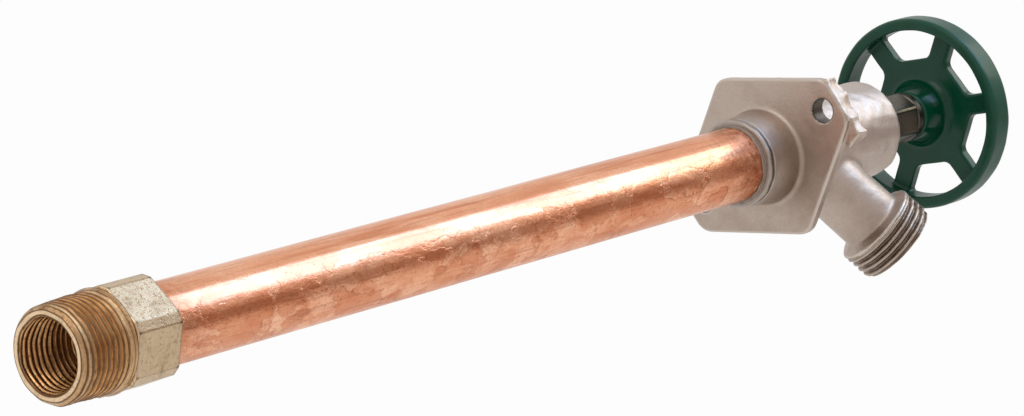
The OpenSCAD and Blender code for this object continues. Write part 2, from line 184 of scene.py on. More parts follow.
class Field:
    """Signed distances of simple forms as whole arrays, below 0 inside."""

    @staticmethod
    def outline(u: Array, v: Array, points: Array) -> Array:
        """Distance to a closed outline: the nearest of its sides, with the sign from counting crossings.

        Args:
            u: First coordinates.
            v: Second coordinates.
            points: Corners of the outline, one row each.

        Returns:
            Distances in the broadcast shape of the coordinates.
        """
        shape = np.broadcast(u, v).shape
        nearest = np.full(shape, np.inf, np.float32)
        inside = np.zeros(shape, bool)
        for (a, b), (c, d) in zip(points, np.roll(points, -1, 0)):
            along, up = c - a, d - b
            du, dv = u - a, v - b
            share = np.clip((du * along + dv * up) / (along * along + up * up), 0, 1)
            nearest = np.minimum(nearest, (du - share * along) ** 2 + (dv - share * up) ** 2)
            if up != 0:
                inside ^= ((b > v) != (d > v)) & (du < along * dv / up)
        return np.where(inside, -1, 1) * np.sqrt(nearest)

    @staticmethod
    def join(a: Array, b: Array, fillet: float | Array) -> Array:
        """Union of two forms with a fillet: the smaller distance less a parabola of their difference.

        Args:
            a: First distances.
            b: Second distances.
            fillet: Reach of the fillet.

        Returns:
            Distances of the union.
        """
        near = np.maximum(fillet - np.abs(a - b), 0) / fillet
        return np.minimum(a, b) - near * near * fillet / 4

    @classmethod
    def meet(cls, a: Array, b: Array, edge: float) -> Array:
        """Common part of two forms with a rounded edge of the given reach."""
        return -cls.join(-a, -b, edge)

    @classmethod
    def cut(cls, a: Array, b: Array, edge: float) -> Array:
        """First form less the second one, with a rounded edge of the given reach."""
        return -cls.join(-a, b, edge)

    @staticmethod
    def slab(z: Array, low: float, high: float) -> Array:
        """Distance to the space between two planes."""
        return np.maximum(low - z, z - high)

    @staticmethod
    def step(value: Array, low: float, high: float) -> Array:
        """Smooth step from 0 to 1 between two values."""
        share = np.clip((value - low) / (high - low), 0, 1)
        return share * share * (3 - 2 * share)


def write_mesh(name: str, points: Array, quads: Array, marks: dict[Mark, Array]) -> bpy.types.Object:
    """Makes a smooth shaded mesh object from whole arrays.

    Args:
        name: Name of the piece.
        points: Places in the lathe frame in millimetres, one row each.
        quads: Point numbers of the faces, one row each.
        marks: Attributes for the finish, one value for each point.

    Returns:
        The object, linked to the scene at the origin.
    """
    mesh = bpy.data.meshes.new(name)
    placed = np.column_stack([points[:, 0], -points[:, 2], points[:, 1]]) * MM
    mesh.vertices.add(len(placed))
    mesh.vertices.foreach_set("co", placed.astype(np.float32).ravel())
    mesh.loops.add(quads.size)
    mesh.loops.foreach_set("vertex_index", quads.astype(np.int32).ravel())
    mesh.polygons.add(len(quads))
    mesh.polygons.foreach_set("loop_start", np.arange(0, quads.size, 4, dtype=np.int32))
    mesh.polygons.foreach_set("use_smooth", np.ones(len(quads), bool))
    mesh.update(calc_edges=True)
    for mark, values in marks.items():
        layer = mesh.attributes.new(mark.value, "FLOAT", "POINT")
        layer.data.foreach_set("value", values.astype(np.float32))
    piece = bpy.data.objects.new(name, mesh)
    bpy.context.scene.collection.objects.link(piece)
    return piece


class Casting:
    """A cast piece whose surface is where its signed distance is 0."""

    name: str
    voxel: float
    low: Triple
    high: Triple
    band = 3
    probe = 0.02
    settling = 4
    least_slope = 0.25

    def field(self, x: Array, y: Array, z: Array) -> Array:
        """Signed distance of the piece at the given places."""
        raise NotImplementedError

    def slope(self, points: Array, reach: float) -> tuple[Array, Array, Array]:
        """Distance, its steepest direction and its bending, from differences of the field.

        Args:
            points: Places, one row each.
            reach: Step of the differences.

        Returns:
            Distances, gradients and the sum of second differences.
        """
        here = self.field(*points.T)
        ahead = np.stack([self.field(*(points + step).T) for step in np.eye(3) * reach], 1)
        behind = np.stack([self.field(*(points - step).T) for step in np.eye(3) * reach], 1)
        bend = (ahead + behind - 2 * here[:, None]).sum(1) / reach**2
        return here, (ahead - behind) / (2 * reach), bend

    def build(self) -> bpy.types.Object:
        """Samples the field on a grid, takes the quads where it is 0 and settles their corners on it.

        Returns:
            The finished mesh object with its bending as an attribute.
        """
        low, high = np.array(self.low), np.array(self.high)
        axes = [np.arange(a, b + self.voxel, self.voxel, dtype=np.float32) for a, b in zip(low, high)]
        near = self.band * self.voxel
        values = self.field(axes[0][:, None, None], axes[1][None, :, None], axes[2][None, None, :])
        grid = openvdb.FloatGrid(near)
        grid.copyFromArray(np.clip(values, -near, near).astype(np.float32))
        corners, quads = grid.convertToQuads(0.0)
        points = low + corners.astype(float) * self.voxel
        for _ in range(self.settling):
            here, rise, _ = self.slope(points, self.probe)
            step = rise * (here / np.maximum((rise * rise).sum(1), self.least_slope))[:, None]
            points -= np.clip(step, -self.voxel / 2, self.voxel / 2)
        bend = self.slope(points, self.voxel)[2]
        marks = {Mark.CURVE: np.clip(bend, -SHARPEST, SHARPEST), **self.marks(*points.T)}
        return write_mesh(self.name, points, quads, marks)

    def marks(self, x: Array, y: Array, z: Array) -> dict[Mark, Array]:
        """Further attributes for the finish at the given places; none for a plain casting."""
        return {}


@dataclass(frozen=True)
class HoseThread:
    """Sizes of the hose thread that the body and its threaded end share."""

    radius: float = 13.5
    length: float = 9.0
    depth: float = 1.0
    pitch: float = 2.209
    chamfer: float = 0.6


@dataclass(frozen=True)
class Spout:
    """Sizes of the sloping spout."""

    angle: float = 59.0
    start: float = 15.1
    length: float = 45.1
    neck: float = 10.0
    bore: float = 7.75
    shoulder: float = 0.8
    flare: float = 1.6
    rounds: Triple = (1.0, 0.4, 0.2)
    thread: HoseThread = HoseThread()

    def local(self, x: Array, y: Array, z: Array) -> tuple[Array, Array]:
        """Distance from the spout's axis and place along it.

        Args:
            x: Coordinates to the right.
            y: Coordinates upwards.
            z: Coordinates out of the wall.

        Returns:
            Radii and places in the spout's own lathe frame.
        """
        slope = math.radians(self.angle)
        along = -y * math.sin(slope) + (z - self.start) * math.cos(slope)
        across = y * math.cos(slope) + (z - self.start) * math.sin(slope)
        return np.sqrt(x * x + across * across), along

    def placed(self, points: Array) -> Array:
        """Carries points from the spout's own lathe frame into the valve's one.

        Args:
            points: Places about the spout's axis, one row each.

        Returns:
            Places about the stem's axis.
        """
        slope = math.radians(self.angle)
        x, y, z = points.T
        return np.column_stack([
            x, y * math.cos(slope) - z * math.sin(slope),
            self.start + y * math.sin(slope) + z * math.cos(slope)
        ])

    def form(self) -> Array:
        """Outline of neck, flare and shoulder as radius and place, up to the thread.

        Returns:
            The outline's points, one row each.
        """
        end = self.length - self.thread.length
        neck_end = end - self.shoulder - self.flare
        radius = self.thread.radius
        flared = (radius, neck_end + self.flare)
        return rounded(
            [(0, 0), (self.neck, 0), (self.neck, neck_end), flared, (radius, end), (0, end)],
            [0, 0, *self.rounds, 0]
        )


@dataclass(frozen=True)
class CastBody(Casting):
    """Cast valve body: flange, collar, barrel, nose and spout, with soft fillets between them."""

    spout: Spout = Spout()
    flange: Point = (67.0, 55.0)
    flange_end: float = 14.6
    flange_rounds: Point = (5.0, 6.0)
    flange_t: float = 4.0
    flange_edges: Point = (0.7, 1.6)
    screw_spacing: float = 54.4
    screw_hole: float = 3.6
    pad: float = 5.8
    pad_h: float = 1.6
    pad_from: float = 1.0
    pad_edge: float = 0.8
    gate: Point = (2.6, 6.4)
    gate_from: float = 0.5
    gate_slope: float = 0.12
    gate_short: float = 0.3
    gate_proud: float = 0.1
    stub: Point = (1.6, 5.4)
    stub_proud: float = 0.2
    stub_overlap: float = 1.0
    stub_reach: float = 6.0
    stub_drop: float = 4.6
    stub_slope: float = 0.32
    collar_l: float = 14.5
    collar_lip: float = 13.2
    collar_base: float = 14.3
    collar_end: float = 0.5
    lip_round: float = 0.7
    lip_groove: float = -12.6
    groove_half: float = 0.5
    groove_depth: float = 0.4
    groove_rise: Point = (0.1, 0.6)
    barrel: float = 14.9
    barrel_start: float = 1.5
    barrel_end: float = 52.9
    nose: float = 10.8
    nose_slope: float = 1.4
    nose_end: float = 57.5
    nose_rounds: Triple = (2.2, 0.9, 0.6)
    socket: Point = (11.15, 3.0)
    waterway: Point = (9.5, 31.05)
    stem_bore: Point = (6.4, 47.2)
    chamber: float = 8.24
    fillet: float = 1.5
    barrel_fillet: float = 4.5
    gate_fillet: float = 0.5
    spout_fillet: float = 1.6
    bore_edge: float = 0.6
    hole_edge: float = 0.4
    tears: tuple[Waves, Waves] = (Waves(7, 6.4, 0.24), Waves(8, 2.6, 0.06))
    lumps: Waves = Waves(3, 9.0, 0.1)
    lump_span: Point = (1.0, 8.0)
    pebbles: Waves = Waves(5, 3.6)
    pebble_low: float = 0.02
    pebble_more: float = 0.035
    pebble_span: Point = (-17.0, -8.0)
    ripple: Waves = Waves(13, 4.2, 0.09)
    ripple_span: Point = (-11.0, -13.0)
    fraying: Waves = Waves(41, 5.0, 0.4)
    name = "cast_body"
    voxel = 0.5
    low = (-35.2, -44.2, -16.2)
    high = (35.3, 29.3, 59.3)

    def flange_form(self) -> Array:
        """Rhombus with clipped ends and rounded corners.

        Returns:
            The outline's points, one row each.
        """
        x, y, e = self.flange[0] / 2, self.flange[1] / 2, self.flange_end / 2
        middle, end = self.flange_rounds
        corners = [(0, y), (-x, e), (-x, -e), (0, -y), (x, -e), (x, e)]
        return rounded(corners, [middle, end, end] * 2, 5)

    def torn_form(self, x: Array, y: Array, z: Array) -> Array:
        """Distance to what is left of the casting's gate: a torn strip on the clipped end, a stub below it.

        Args:
            x: Coordinates to the right.
            y: Coordinates upwards.
            z: Coordinates out of the wall.

        Returns:
            Signed distances in the broadcast shape of the coordinates.
        """
        side, end = -self.flange[0] / 2, self.flange_end / 2
        width, height = self.gate
        strip = np.maximum(Field.slab(x, side - self.gate_proud, side + width),
                           Field.slab(y, -end, end - self.gate_short))
        strip = np.maximum(strip, Field.slab(z, self.gate_from, height - self.gate_slope * np.abs(y)))
        slanted = y + self.stub_slope * (x - side)
        stub = np.maximum(Field.slab(x, side - self.stub_proud, side + self.stub_reach),
                          Field.slab(slanted, -end - self.stub_drop, self.stub_overlap - end))
        stub = np.maximum(stub, Field.slab(z, *self.stub))
        return np.minimum(strip, stub) + sum(waves.at(x, y, z) for waves in self.tears)

    def barrel_form(self) -> Array:
        """Collar, barrel and nose as one outline of radius and place.

        Returns:
            The outline's points, one row each.
        """
        lip, groove = self.collar_lip, self.lip_groove
        out, along = self.groove_rise
        collar = [
            (0, -self.collar_l), (lip, -self.collar_l), (lip, groove - self.groove_half),
            (lip - self.groove_depth, groove), (lip + out, groove + along),
            (self.collar_base, self.collar_end),
        ]
        barrel = [
            (self.barrel, self.barrel_start), (self.barrel, self.barrel_end),
            (self.nose, self.barrel_end + self.nose_slope), (self.nose, self.nose_end), (0, self.nose_end),
        ]
        return rounded(collar + barrel, [0, self.lip_round, 0, 0, 0, 0, 0, *self.nose_rounds, 0], 4)

    def field(self, x: Array, y: Array, z: Array) -> Array:
        """Fillets the flange, the barrel and the spout together, then cuts the waterway and the screw holes.

        Args:
            x: Coordinates to the right.
            y: Coordinates upwards.
            z: Coordinates out of the wall.

        Returns:
            Signed distances in the broadcast shape of the coordinates.
        """
        rho = np.sqrt(x * x + y * y)
        spout_rho, spout_z = self.spout.local(x, y, z)
        plate = Field.meet(Field.outline(x, y, self.flange_form()), -z, self.flange_edges[0])
        plate = Field.meet(plate, z - self.flange_t, self.flange_edges[1])
        hole = np.sqrt((np.abs(x) - self.screw_spacing / 2) ** 2 + y * y)
        height = Field.slab(z, self.pad_from, self.flange_t + self.pad_h)
        pads = Field.meet(hole - self.pad, height, self.pad_edge)
        barrel = Field.outline(rho, z, self.barrel_form())
        fillet = np.where(z < self.flange_t / 2, self.fillet, self.barrel_fillet)
        outer = Field.join(Field.join(plate, pads, self.fillet), barrel, fillet)
        outer = Field.join(outer, self.torn_form(x, y, z), self.gate_fillet)
        outer = Field.join(outer, Field.outline(spout_rho, spout_z, self.spout.form()), self.spout_fillet)
        fine = self.pebble_low + self.pebble_more * Field.step(y, *self.pebble_span)
        lumps = self.lumps.at(x, y, z) + fine * self.pebbles.at(x, y, z)
        ripple = self.ripple.at(x, y, z)
        outer = outer + lumps * Field.step(z, *self.lump_span) + ripple * Field.step(z, *self.ripple_span)
        bore = np.maximum(spout_rho - self.spout.bore, -spout_z)
        for radius, end in (self.socket, self.waterway, self.stem_bore):
            bore = np.minimum(bore, np.maximum(rho - radius, z - end))
        bore = np.minimum(bore, np.maximum(rho - self.chamber, self.stem_bore[1] - z))
        return Field.cut(Field.cut(outer, bore, self.bore_edge), hole - self.screw_hole, self.hole_edge)

    def marks(self, x: Array, y: Array, z: Array) -> dict[Mark, Array]:
        """Raw metal on the torn gate; painted shade in the bores, the lip's groove and the hole by the gate;
        a darker lip.

        Args:
            x: Coordinates to the right.
            y: Coordinates upwards.
            z: Coordinates out of the wall.

        Returns:
            Zone values, and painted shade and the darker lip as groove values, from 0 to 1.
        """
        side = -self.flange[0] / 2
        plate = np.maximum(Field.outline(x, y, self.flange_form()), Field.slab(z, 0, self.flange_t))
        torn = Field.step(self.torn_form(x, y, z), 0.4, 0.1)
        raw = torn * Field.step(np.maximum(plate, side + 0.5 - x), -0.1, 0.2)
        hole = np.sqrt((np.abs(x) - self.screw_spacing / 2) ** 2 + y * y)
        spout_rho, spout_z = self.spout.local(x, y, z)
        spout_bore = np.maximum(spout_rho - self.spout.bore, -spout_z)
        rho = np.sqrt(x * x + y * y)
        # Painted shade inside the bores and the screw hole beside the gate; the far hole gets none.
        shaded_hole = np.maximum(hole - self.screw_hole, x)
        inner = np.minimum(np.minimum(shaded_hole, spout_bore), rho - self.chamber)
        # Painted shade in the lip's groove, a third as deep on its upper right as on its lower left.
        groove = np.maximum(np.abs(z - self.lip_groove) - 0.3, rho - self.collar_lip - 0.2)
        frayed = z - self.fraying.at(x, y, z)
        # Darker band over the lip, up to a ragged line just past its groove.
        darkening = 0.4 * Field.step(frayed, self.lip_groove + 1.6, self.lip_groove)
        below = 0.3 + 0.7 * Field.step(-(x + y) / np.maximum(rho, 1), 0.1, 1.2)
        sunk = np.maximum(Field.step(inner, 0.5, 0.1), below * Field.step(groove, 0.3, 0))
        return {Mark.ZONE: raw, Mark.GROOVE: np.maximum(sunk, darkening)}


@dataclass(frozen=True)
class CastWheel(Casting):
    """Cast handwheel: rounded rim, recessed web with six windows and a dished hub."""

    radius: float = 30.2
    rim_w: float = 3.8
    rim: Point = (81.7, 90.7)
    rim_rounds: Point = (1.5, 1.3)
    web: Point = (86.7, 90.3)
    web_edge: float = 0.7
    spokes: int = 6
    spoke_w: float = 6.4
    spoke_turn: float = 24.0
    window_inner: float = 16.6
    window_round: float = 1.6
    hub_back: Point = (7.5, 77.2)
    hub_base: float = 10.0
    hub_front: Point = (9.0, 91.4)
    journal: Point = (4.79, 79.5)
    square: float = 3.24
    recess: Point = (5.3, 89.4)
    spoke_fillet: float = 1.0
    hub_fillet: float = 3.4
    hub_rounds: Point = (1.2, 0.8)
    socket_edge: float = 0.5
    skin: Waves = Waves(11, 7.0, 0.03)
    name = "handwheel_cast"
    voxel = 0.45
    low = (-31.2, -31.2, 76.0)
    high = (31.2, 31.2, 92.6)

    def window(self, x: Array, y: Array) -> Array:
        """Distance to the six windows, folded into one sector whose middle lies along the turned axis.

        Args:
            x: Coordinates to the right.
            y: Coordinates upwards.

        Returns:
            Signed distances, below 0 in a window.
        """
        pitch = TURN / self.spokes
        angle = np.arctan2(y, x) - math.radians(self.spoke_turn) - pitch / 2
        angle = (angle + pitch / 2) % pitch - pitch / 2
        rho = np.sqrt(x * x + y * y)
        across, out = np.abs(rho * np.sin(angle)), rho * np.cos(angle)
        side = across * math.cos(pitch / 2) - out * math.sin(pitch / 2) + self.spoke_w / 2
        return Field.meet(side, self.window_inner - out, self.window_round)

    def field(self, x: Array, y: Array, z: Array) -> Array:
        """Fillets rim, spokes and hub together, then cuts the square socket and the screw's recess.

        Args:
            x: Coordinates to the right.
            y: Coordinates upwards.
            z: Coordinates out of the wall.

        Returns:
            Signed distances in the broadcast shape of the coordinates.
        """
        rho = np.sqrt(x * x + y * y)
        inner = self.radius - self.rim_w
        back, front = self.rim
        rim = Field.outline(rho, z, rounded(
            [(self.radius, back), (self.radius, front), (inner, front), (inner, back)],
            [self.rim_rounds[0]] * 2 + [self.rim_rounds[1]] * 2
        ))
        spokes = np.maximum(rho - inner - self.rim_w / 2, -self.window(x, y))
        plate = Field.meet(spokes, Field.slab(z, *self.web), self.web_edge)
        root = [(self.hub_base, place) for place in self.web]
        hub = Field.outline(rho, z, rounded(
            [(0, self.hub_back[1]), self.hub_back, *root, self.hub_front, (0, self.hub_front[1])],
            [0, self.hub_rounds[0], 0, 0, self.hub_rounds[1], 0]
        ))
        solid = Field.join(Field.join(rim, plate, self.spoke_fillet), hub, self.hub_fillet)
        solid = solid + self.skin.at(x, y, z)
        socket = np.maximum(np.abs(x), np.abs(y)) - self.square
        socket = np.minimum(socket, np.maximum(rho - self.journal[0], z - self.journal[1]))
        socket = np.minimum(socket, np.maximum(rho - self.recess[0], self.recess[1] - z))
        return Field.cut(solid, socket, self.socket_edge)


@dataclass(frozen=True)
class Facets:
    """Cross section with flats, as radius against angle."""

    sides: int
    apothem: float
    turn: float
    blunt: float = 0.0

    @property
    def cut_apothem(self) -> float:
        """Distance of the blunt strips from the axis."""
        half = math.pi / self.sides
        return self.apothem / math.cos(half) - self.blunt / 2 / math.tan(math.pi / 2 - half)

    def radius(self, theta: Array) -> Array:
        """Radius of the flats, or of the blunt strip on each corner where that is nearer the axis.

        Args:
            theta: Angles about the axis.

        Returns:
            Radii at those angles.
        """
        pitch = TURN / self.sides
        from_flat = (theta - math.radians(self.turn)) % pitch - pitch / 2
        from_corner = (theta - math.radians(self.turn) + pitch / 2) % pitch - pitch / 2
        return np.minimum(self.apothem / np.cos(from_flat), self.cut_apothem / np.cos(from_corner))

    def edges(self) -> Array:
        """Angles of all the edges between the flats and the strips.

        Returns:
            Angles from 0 up to a whole turn.
        """
        half = math.atan2(self.blunt / 2, self.cut_apothem)
        corners = math.radians(self.turn) + np.arange(self.sides) * TURN / self.sides
        return np.concatenate([corners - half, corners + half]) % TURN


@dataclass(frozen=True)
class Row:
    """One ring of a turned section: radius, place, share of the flats, thread depth and finish zone."""

    r: float
    z: float
    flat: float = 0.0
    depth: float = 0.0
    # Finish zone; below 0 it paints shade.
    zone: float = 0.0


@dataclass(frozen=True)
class Uneven:
    """Waves that push points along their radius, whole from one place on the axis and gone from another."""

    waves: Waves
    height: float
    gone: float = -1e4
    whole: float = -1e3

    def pushed(self, points: Array) -> Array:
        """Pushes each point outwards by the waves at its place.

        Args:
            points: Places about the axis, one row each.

        Returns:
            The new places.
        """
        x, y, z = points.T
        rho = np.maximum(np.hypot(x, y), 1e-6)
        push = 1 + self.height * Field.step(z, self.gone, self.whole) * self.waves.at(x, y, z) / rho
        return np.column_stack([x * push, y * push, z])


class Turning:
    """A turned piece: a closed section carried round the axis, with flats and threads by its rows."""

    root = 0.14
    crest = 0.84

    def __init__(self, name: str, columns: int, edge: float = 0.15, facets: Facets | None = None,
                 pitch: float = 0.0, uneven: Uneven | None = None) -> None:
        """Starts an empty section.

        Args:
            name: Name of the piece.
            columns: Evenly spaced angles round the axis.
            edge: Width that is taken off each corner of the section.
            facets: Flats, for a piece that has them.
            pitch: Pitch of its right handed threads.
            uneven: Unevenness of a piece that isn't true.
        """
        self.name = name
        self.edge = edge
        self.facets = facets
        self.pitch = pitch
        self.uneven = uneven
        self.rows: list[Array] = []
        self.theta = self.angles(columns)

    def angles(self, columns: int) -> Array:
        """Even angles, with more of them close to the edges of the flats.

        Args:
            columns: Number of even angles.

        Returns:
            Sorted angles from 0 up to a whole turn.
        """
        even = np.arange(columns) * TURN / columns
        if self.facets is None:
            return even
        near = np.array([-3, -1, 1, 3]) * self.edge / self.facets.apothem
        close = (self.facets.edges()[:, None] + near).ravel() % TURN
        apart = np.abs((even[:, None] - close + math.pi) % TURN - math.pi).min(1)
        return np.sort(np.concatenate([even[apart > self.edge / self.facets.apothem], close]))

    def line(self, start: Row, end: Row, parts: int = 2) -> None:
        """Adds one straight side of the section, held back from both its corners by the edge's width.

        Args:
            start: Where the side begins.
            end: Where it ends.
            parts: Equal lengths into which its middle is divided.
        """
        a = np.array([start.r, start.z, start.flat, start.depth, start.zone])
        b = np.array([end.r, end.z, end.flat, end.depth, end.zone])
        reach = end.r if end.flat == start.flat else (self.facets.apothem if end.flat else end.r)
        begin = start.r if end.flat == start.flat else (self.facets.apothem if start.flat else start.r)
        length = max(math.hypot(reach - begin, end.z - start.z), 1e-6)
        held = min(self.edge / length, 0.2)
        share = np.concatenate([[held], np.linspace(2 * held, 1 - 2 * held, parts + 1), [1 - held]])
        self.rows.append(a + (b - a) * share[:, None])

    def section(self, sides: list[tuple[Row, int]]) -> None:
        """Adds all sides of a closed section, each from its row to the next one.

        Args:
            sides: Where each side begins and its number of equal lengths.
        """
        for (start, parts), (end, _) in zip(sides, sides[1:] + sides[:1]):
            self.line(start, end, parts)

    def build(self) -> bpy.types.Object:
        """Carries the section round the axis, with the row's radius, flats and thread phase at each angle.

        Returns:
            The finished mesh object, closed both ways, with the share of painted shade in its grooves and
            its zone as attributes.
        """
        r, z, flat, depth, zone = (column[:, None] for column in np.concatenate(self.rows).T)
        theta = self.theta[None, :]
        radius = np.broadcast_to(r, (len(r), self.theta.size))
        if self.facets is not None:
            radius = (1 - flat) * radius + flat * self.facets.radius(theta)
        groove = np.zeros_like(radius)
        if self.pitch:
            phase = (z / self.pitch - theta / TURN) % 1
            groove = 1 - Field.step(np.abs(2 * phase - 1), self.root, self.crest)
            radius = radius - depth * groove
            # The groove mark is the share of painted shade in the thread grooves.
            groove = groove * np.minimum(np.abs(depth), 1)
        height, zone = (np.broadcast_to(column, radius.shape) for column in (z, zone))
        points = np.stack([radius * np.cos(theta), radius * np.sin(theta), height], -1)
        marks = {Mark.GROOVE: groove.ravel(), Mark.ZONE: zone.ravel()}
        return self.write(points, marks, float((z * np.roll(r, -1) - np.roll(z, -1) * r).sum()))

    @staticmethod
    def bending(points: Array) -> Array:
        """Sum of the bendings along rings and angles, from how the normals turn between neighbours.

        Args:
            points: Places by ring and angle, closed both ways.

        Returns:
            One value for each point, above 0 on one side's edges and below 0 in its grooves.
        """
        steps = [np.roll(points, -1, axis) - np.roll(points, 1, axis) for axis in (0, 1)]
        normal = np.cross(steps[1], steps[0])
        normal /= np.maximum(np.linalg.norm(normal, axis=-1, keepdims=True), 1e-9)
        turns = [np.roll(normal, -1, axis) - np.roll(normal, 1, axis) for axis in (0, 1)]
        spans = [np.maximum((step * step).sum(-1), 1e-4) for step in steps]
        return sum((turn * step).sum(-1) / span for turn, step, span in zip(turns, steps, spans))

    def write(self, points: Array, marks: dict[Mark, Array], winding: float) -> bpy.types.Object:
        """Joins rings and angles by quads that face outwards.

        Args:
            points: Places by ring and angle.
            marks: Attributes for the finish.
            winding: Above 0 if the section runs backwards.

        Returns:
            The mesh object.
        """
        rings, columns = points.shape[:2]
        number = np.arange(rings * columns).reshape(rings, columns)
        right, ahead = np.roll(number, -1, 1), np.roll(number, -1, 0)
        quads = np.stack([number, right, np.roll(ahead, -1, 1), ahead], -1).reshape(-1, 4)
        if winding > 0:
            quads = quads[:, ::-1]
        bend = self.bending(points) * (-1 if winding > 0 else 1)
        marks[Mark.CURVE] = np.clip(bend, -SHARPEST, SHARPEST).ravel()
        return write_mesh(self.name, self.place(points.reshape(-1, 3)), quads, marks)

    def place(self, points: Array) -> Array:
        """Places of the piece's points, which a plain turning keeps about the stem's axis."""
        return points if self.uneven is None else self.uneven.pushed(points)


class SpoutTurning(Turning):
    """A turning that lies on the spout's axis."""

    spout = Spout()

    def place(self, points: Array) -> Array:
        """Carries the points onto the spout's axis."""
        return self.spout.placed(super().place(points))


@dataclass(frozen=True)
class HoseEnd:
    """Threaded end of the spout."""

    spout: Spout = Spout()
    sunk: float = 0.4
    step: float = 0.6
    runout: Point = (0.2, 0.7)
    mouth: Point = (0.3, 0.4)

    def build(self) -> bpy.types.Object:
        """Turns the hose thread with its mouth and bore, and carries it to the spout.

        Returns:
            The finished piece.
        """
        thread = self.spout.thread
        begin, end = self.spout.length - thread.length, self.spout.length
        lip = thread.radius - thread.chamfer
        dents = Uneven(Waves(51, 4.6), 0.13, begin, begin + 2)
        piece = SpoutTurning("hose_thread", 168, 0.12, pitch=thread.pitch, uneven=dents)
        back = Row(self.spout.bore, begin - self.sunk)
        step = Row(thread.radius - self.step, begin - self.sunk)
        plain = Row(thread.radius, begin + self.runout[0])
        first = Row(thread.radius, begin + self.runout[1], 0, thread.depth)
        last = Row(thread.radius, end - thread.chamfer, 0, thread.depth)
        edge = Row(self.spout.bore + self.mouth[0], end)
        inside = Row(self.spout.bore, end - self.mouth[1])
        piece.line(back, step)
        piece.line(step, plain)
        piece.line(plain, first, 5)
        piece.line(first, last, 60)
        piece.line(last, Row(lip, end, 0, 0.1), 6)
        piece.line(Row(lip, end), edge, 4)
        piece.line(edge, inside)
        piece.line(inside, back, 6)
        return piece.build()


@dataclass(frozen=True)
class Inlet:
    """Brass inlet fitting with its hexagon and both pipe threads."""

    end: float = -304.8
    shoulder: float = -286.5
    hex_end: float = -270.5
    hex_flats: Facets = Facets(6, 13.4, 15.0, 3.0)
    band: Point = (14.0, -288.8)
    thread: float = 13.33
    taper: float = 0.4
    chamfer: float = 1.2
    depth: float = 1.0
    depth_shares: tuple[float, float, float, float] = (0.3, 0.7, 0.8, 0.45)
    pitch: float = 1.814
    runout: float = 1.6
    used: float = 4.0
    last_turn: float = 2.2
    dented: float = 8.0
    bore: Point = (9.05, -286.8)
    mouth: float = 10.2
    sink: float = 0.7
    seat_bore: float = 3.6
    seat: Point = (4.7, -280.0)
    cup: Point = (11.15, -281.5)

    def build(self) -> bpy.types.Object:
        """Turns the fitting as one closed section, from the cup over the hexagon and back by the bore.

        Returns:
            The finished piece.
        """
        lip = self.thread - self.taper - self.chamfer
        start, stop = self.band[1] - self.runout, self.end + self.chamfer
        depths = [self.depth * share for share in self.depth_shares]
        dents = Uneven(Waves(61, 6.0), 0.12, self.shoulder, self.shoulder - self.dented)
        piece = Turning("inlet_threaded", 168, 0.14, self.hex_flats, self.pitch, dents)
        hexagon, shoulder = Row(0, self.hex_end, 1, 0, 1), Row(0, self.shoulder, 1, 0, 1)
        runout = Row(self.thread, self.band[1], 0, depths[0], 0.3)
        full = Row(self.thread, start, 0, depths[1])
        used = Row(self.thread - self.taper * 0.7, stop + self.used, 0, depths[2])
        tip = Row(self.thread - self.taper, stop, 0, depths[3], 0.5)
        sunk = self.mouth - self.sink, self.end + self.sink
        last = Row(self.bore[0], self.bore[1] - self.last_turn, 0, -self.depth)
        piece.line(Row(self.cup[0], self.hex_end, 0, 0, 1), hexagon, 3)
        piece.line(hexagon, shoulder, 12)
        # A zone below 0 paints shade on the hexagon's shoulder face.
        piece.line(Row(0, self.shoulder, 1, 0, -1), Row(self.band[0], self.shoulder, 0, 0, -1))
        piece.line(Row(self.band[0], self.shoulder, 0, 0, 0.4), runout, 16)
        piece.line(runout, full, 14)
        piece.line(full, used, 90)
        piece.line(used, tip, 32)
        piece.line(tip, Row(lip, self.end, 0, 0.1, 0.6), 8)
        piece.line(Row(lip, self.end, 0, 0, 0.7), Row(self.mouth, self.end, 0, 0, 0.7), 4)
        # Zones below 0 paint shade into the mouth and down the bore, fading out.
        piece.line(Row(self.mouth, self.end, 0, 0, 0.6), Row(*sunk, 0, -0.3), 4)
        piece.line(Row(*sunk, 0, -0.4), last, 110)
        piece.line(last, Row(*self.bore), 16)
        piece.line(Row(*self.bore), Row(self.seat_bore, self.bore[1]), 3)
        piece.line(Row(self.seat_bore, self.bore[1]), Row(self.seat_bore, self.seat[1]), 3)
        piece.line(Row(self.seat_bore, self.seat[1]), Row(*self.seat))
        piece.line(Row(*self.seat), Row(self.seat[0], self.cup[1]))
        piece.line(Row(self.seat[0], self.cup[1]), Row(*self.cup), 3)
        piece.line(Row(*self.cup), Row(self.cup[0], self.hex_end, 0, 0, 1), 4)
        return piece.build()


@dataclass(frozen=True)
class PackingNut:
    """Packing nut with its hexagon, its threaded end and the round collar in front."""

    flats: Facets = Facets(6, 7.15, 4.0, 0.9)
    thread: Point = (8.2, 52.7)
    hex_start: float = 57.5
    collar: Point = (7.7, 73.9)
    front: float = 76.4
    bore: float = 4.8
    edge: float = 0.3

    def build(self) -> bpy.types.Object:
        """Turns thread, hexagon, collar and bore as one closed section.

        Returns:
            The finished piece.
        """
        piece = Turning("packing_nut_turned", 96, 0.12, self.flats)
        piece.section([
            (Row(self.bore, self.thread[1]), 2), (Row(*self.thread), 4),
            (Row(self.thread[0], self.hex_start), 2), (Row(0, self.hex_start + self.edge, 1), 10),
            (Row(0, self.collar[1] - self.edge, 1), 2), (Row(*self.collar), 3),
            (Row(self.collar[0], self.front), 3), (Row(self.bore, self.front), 8),
        ])
        return piece.build()


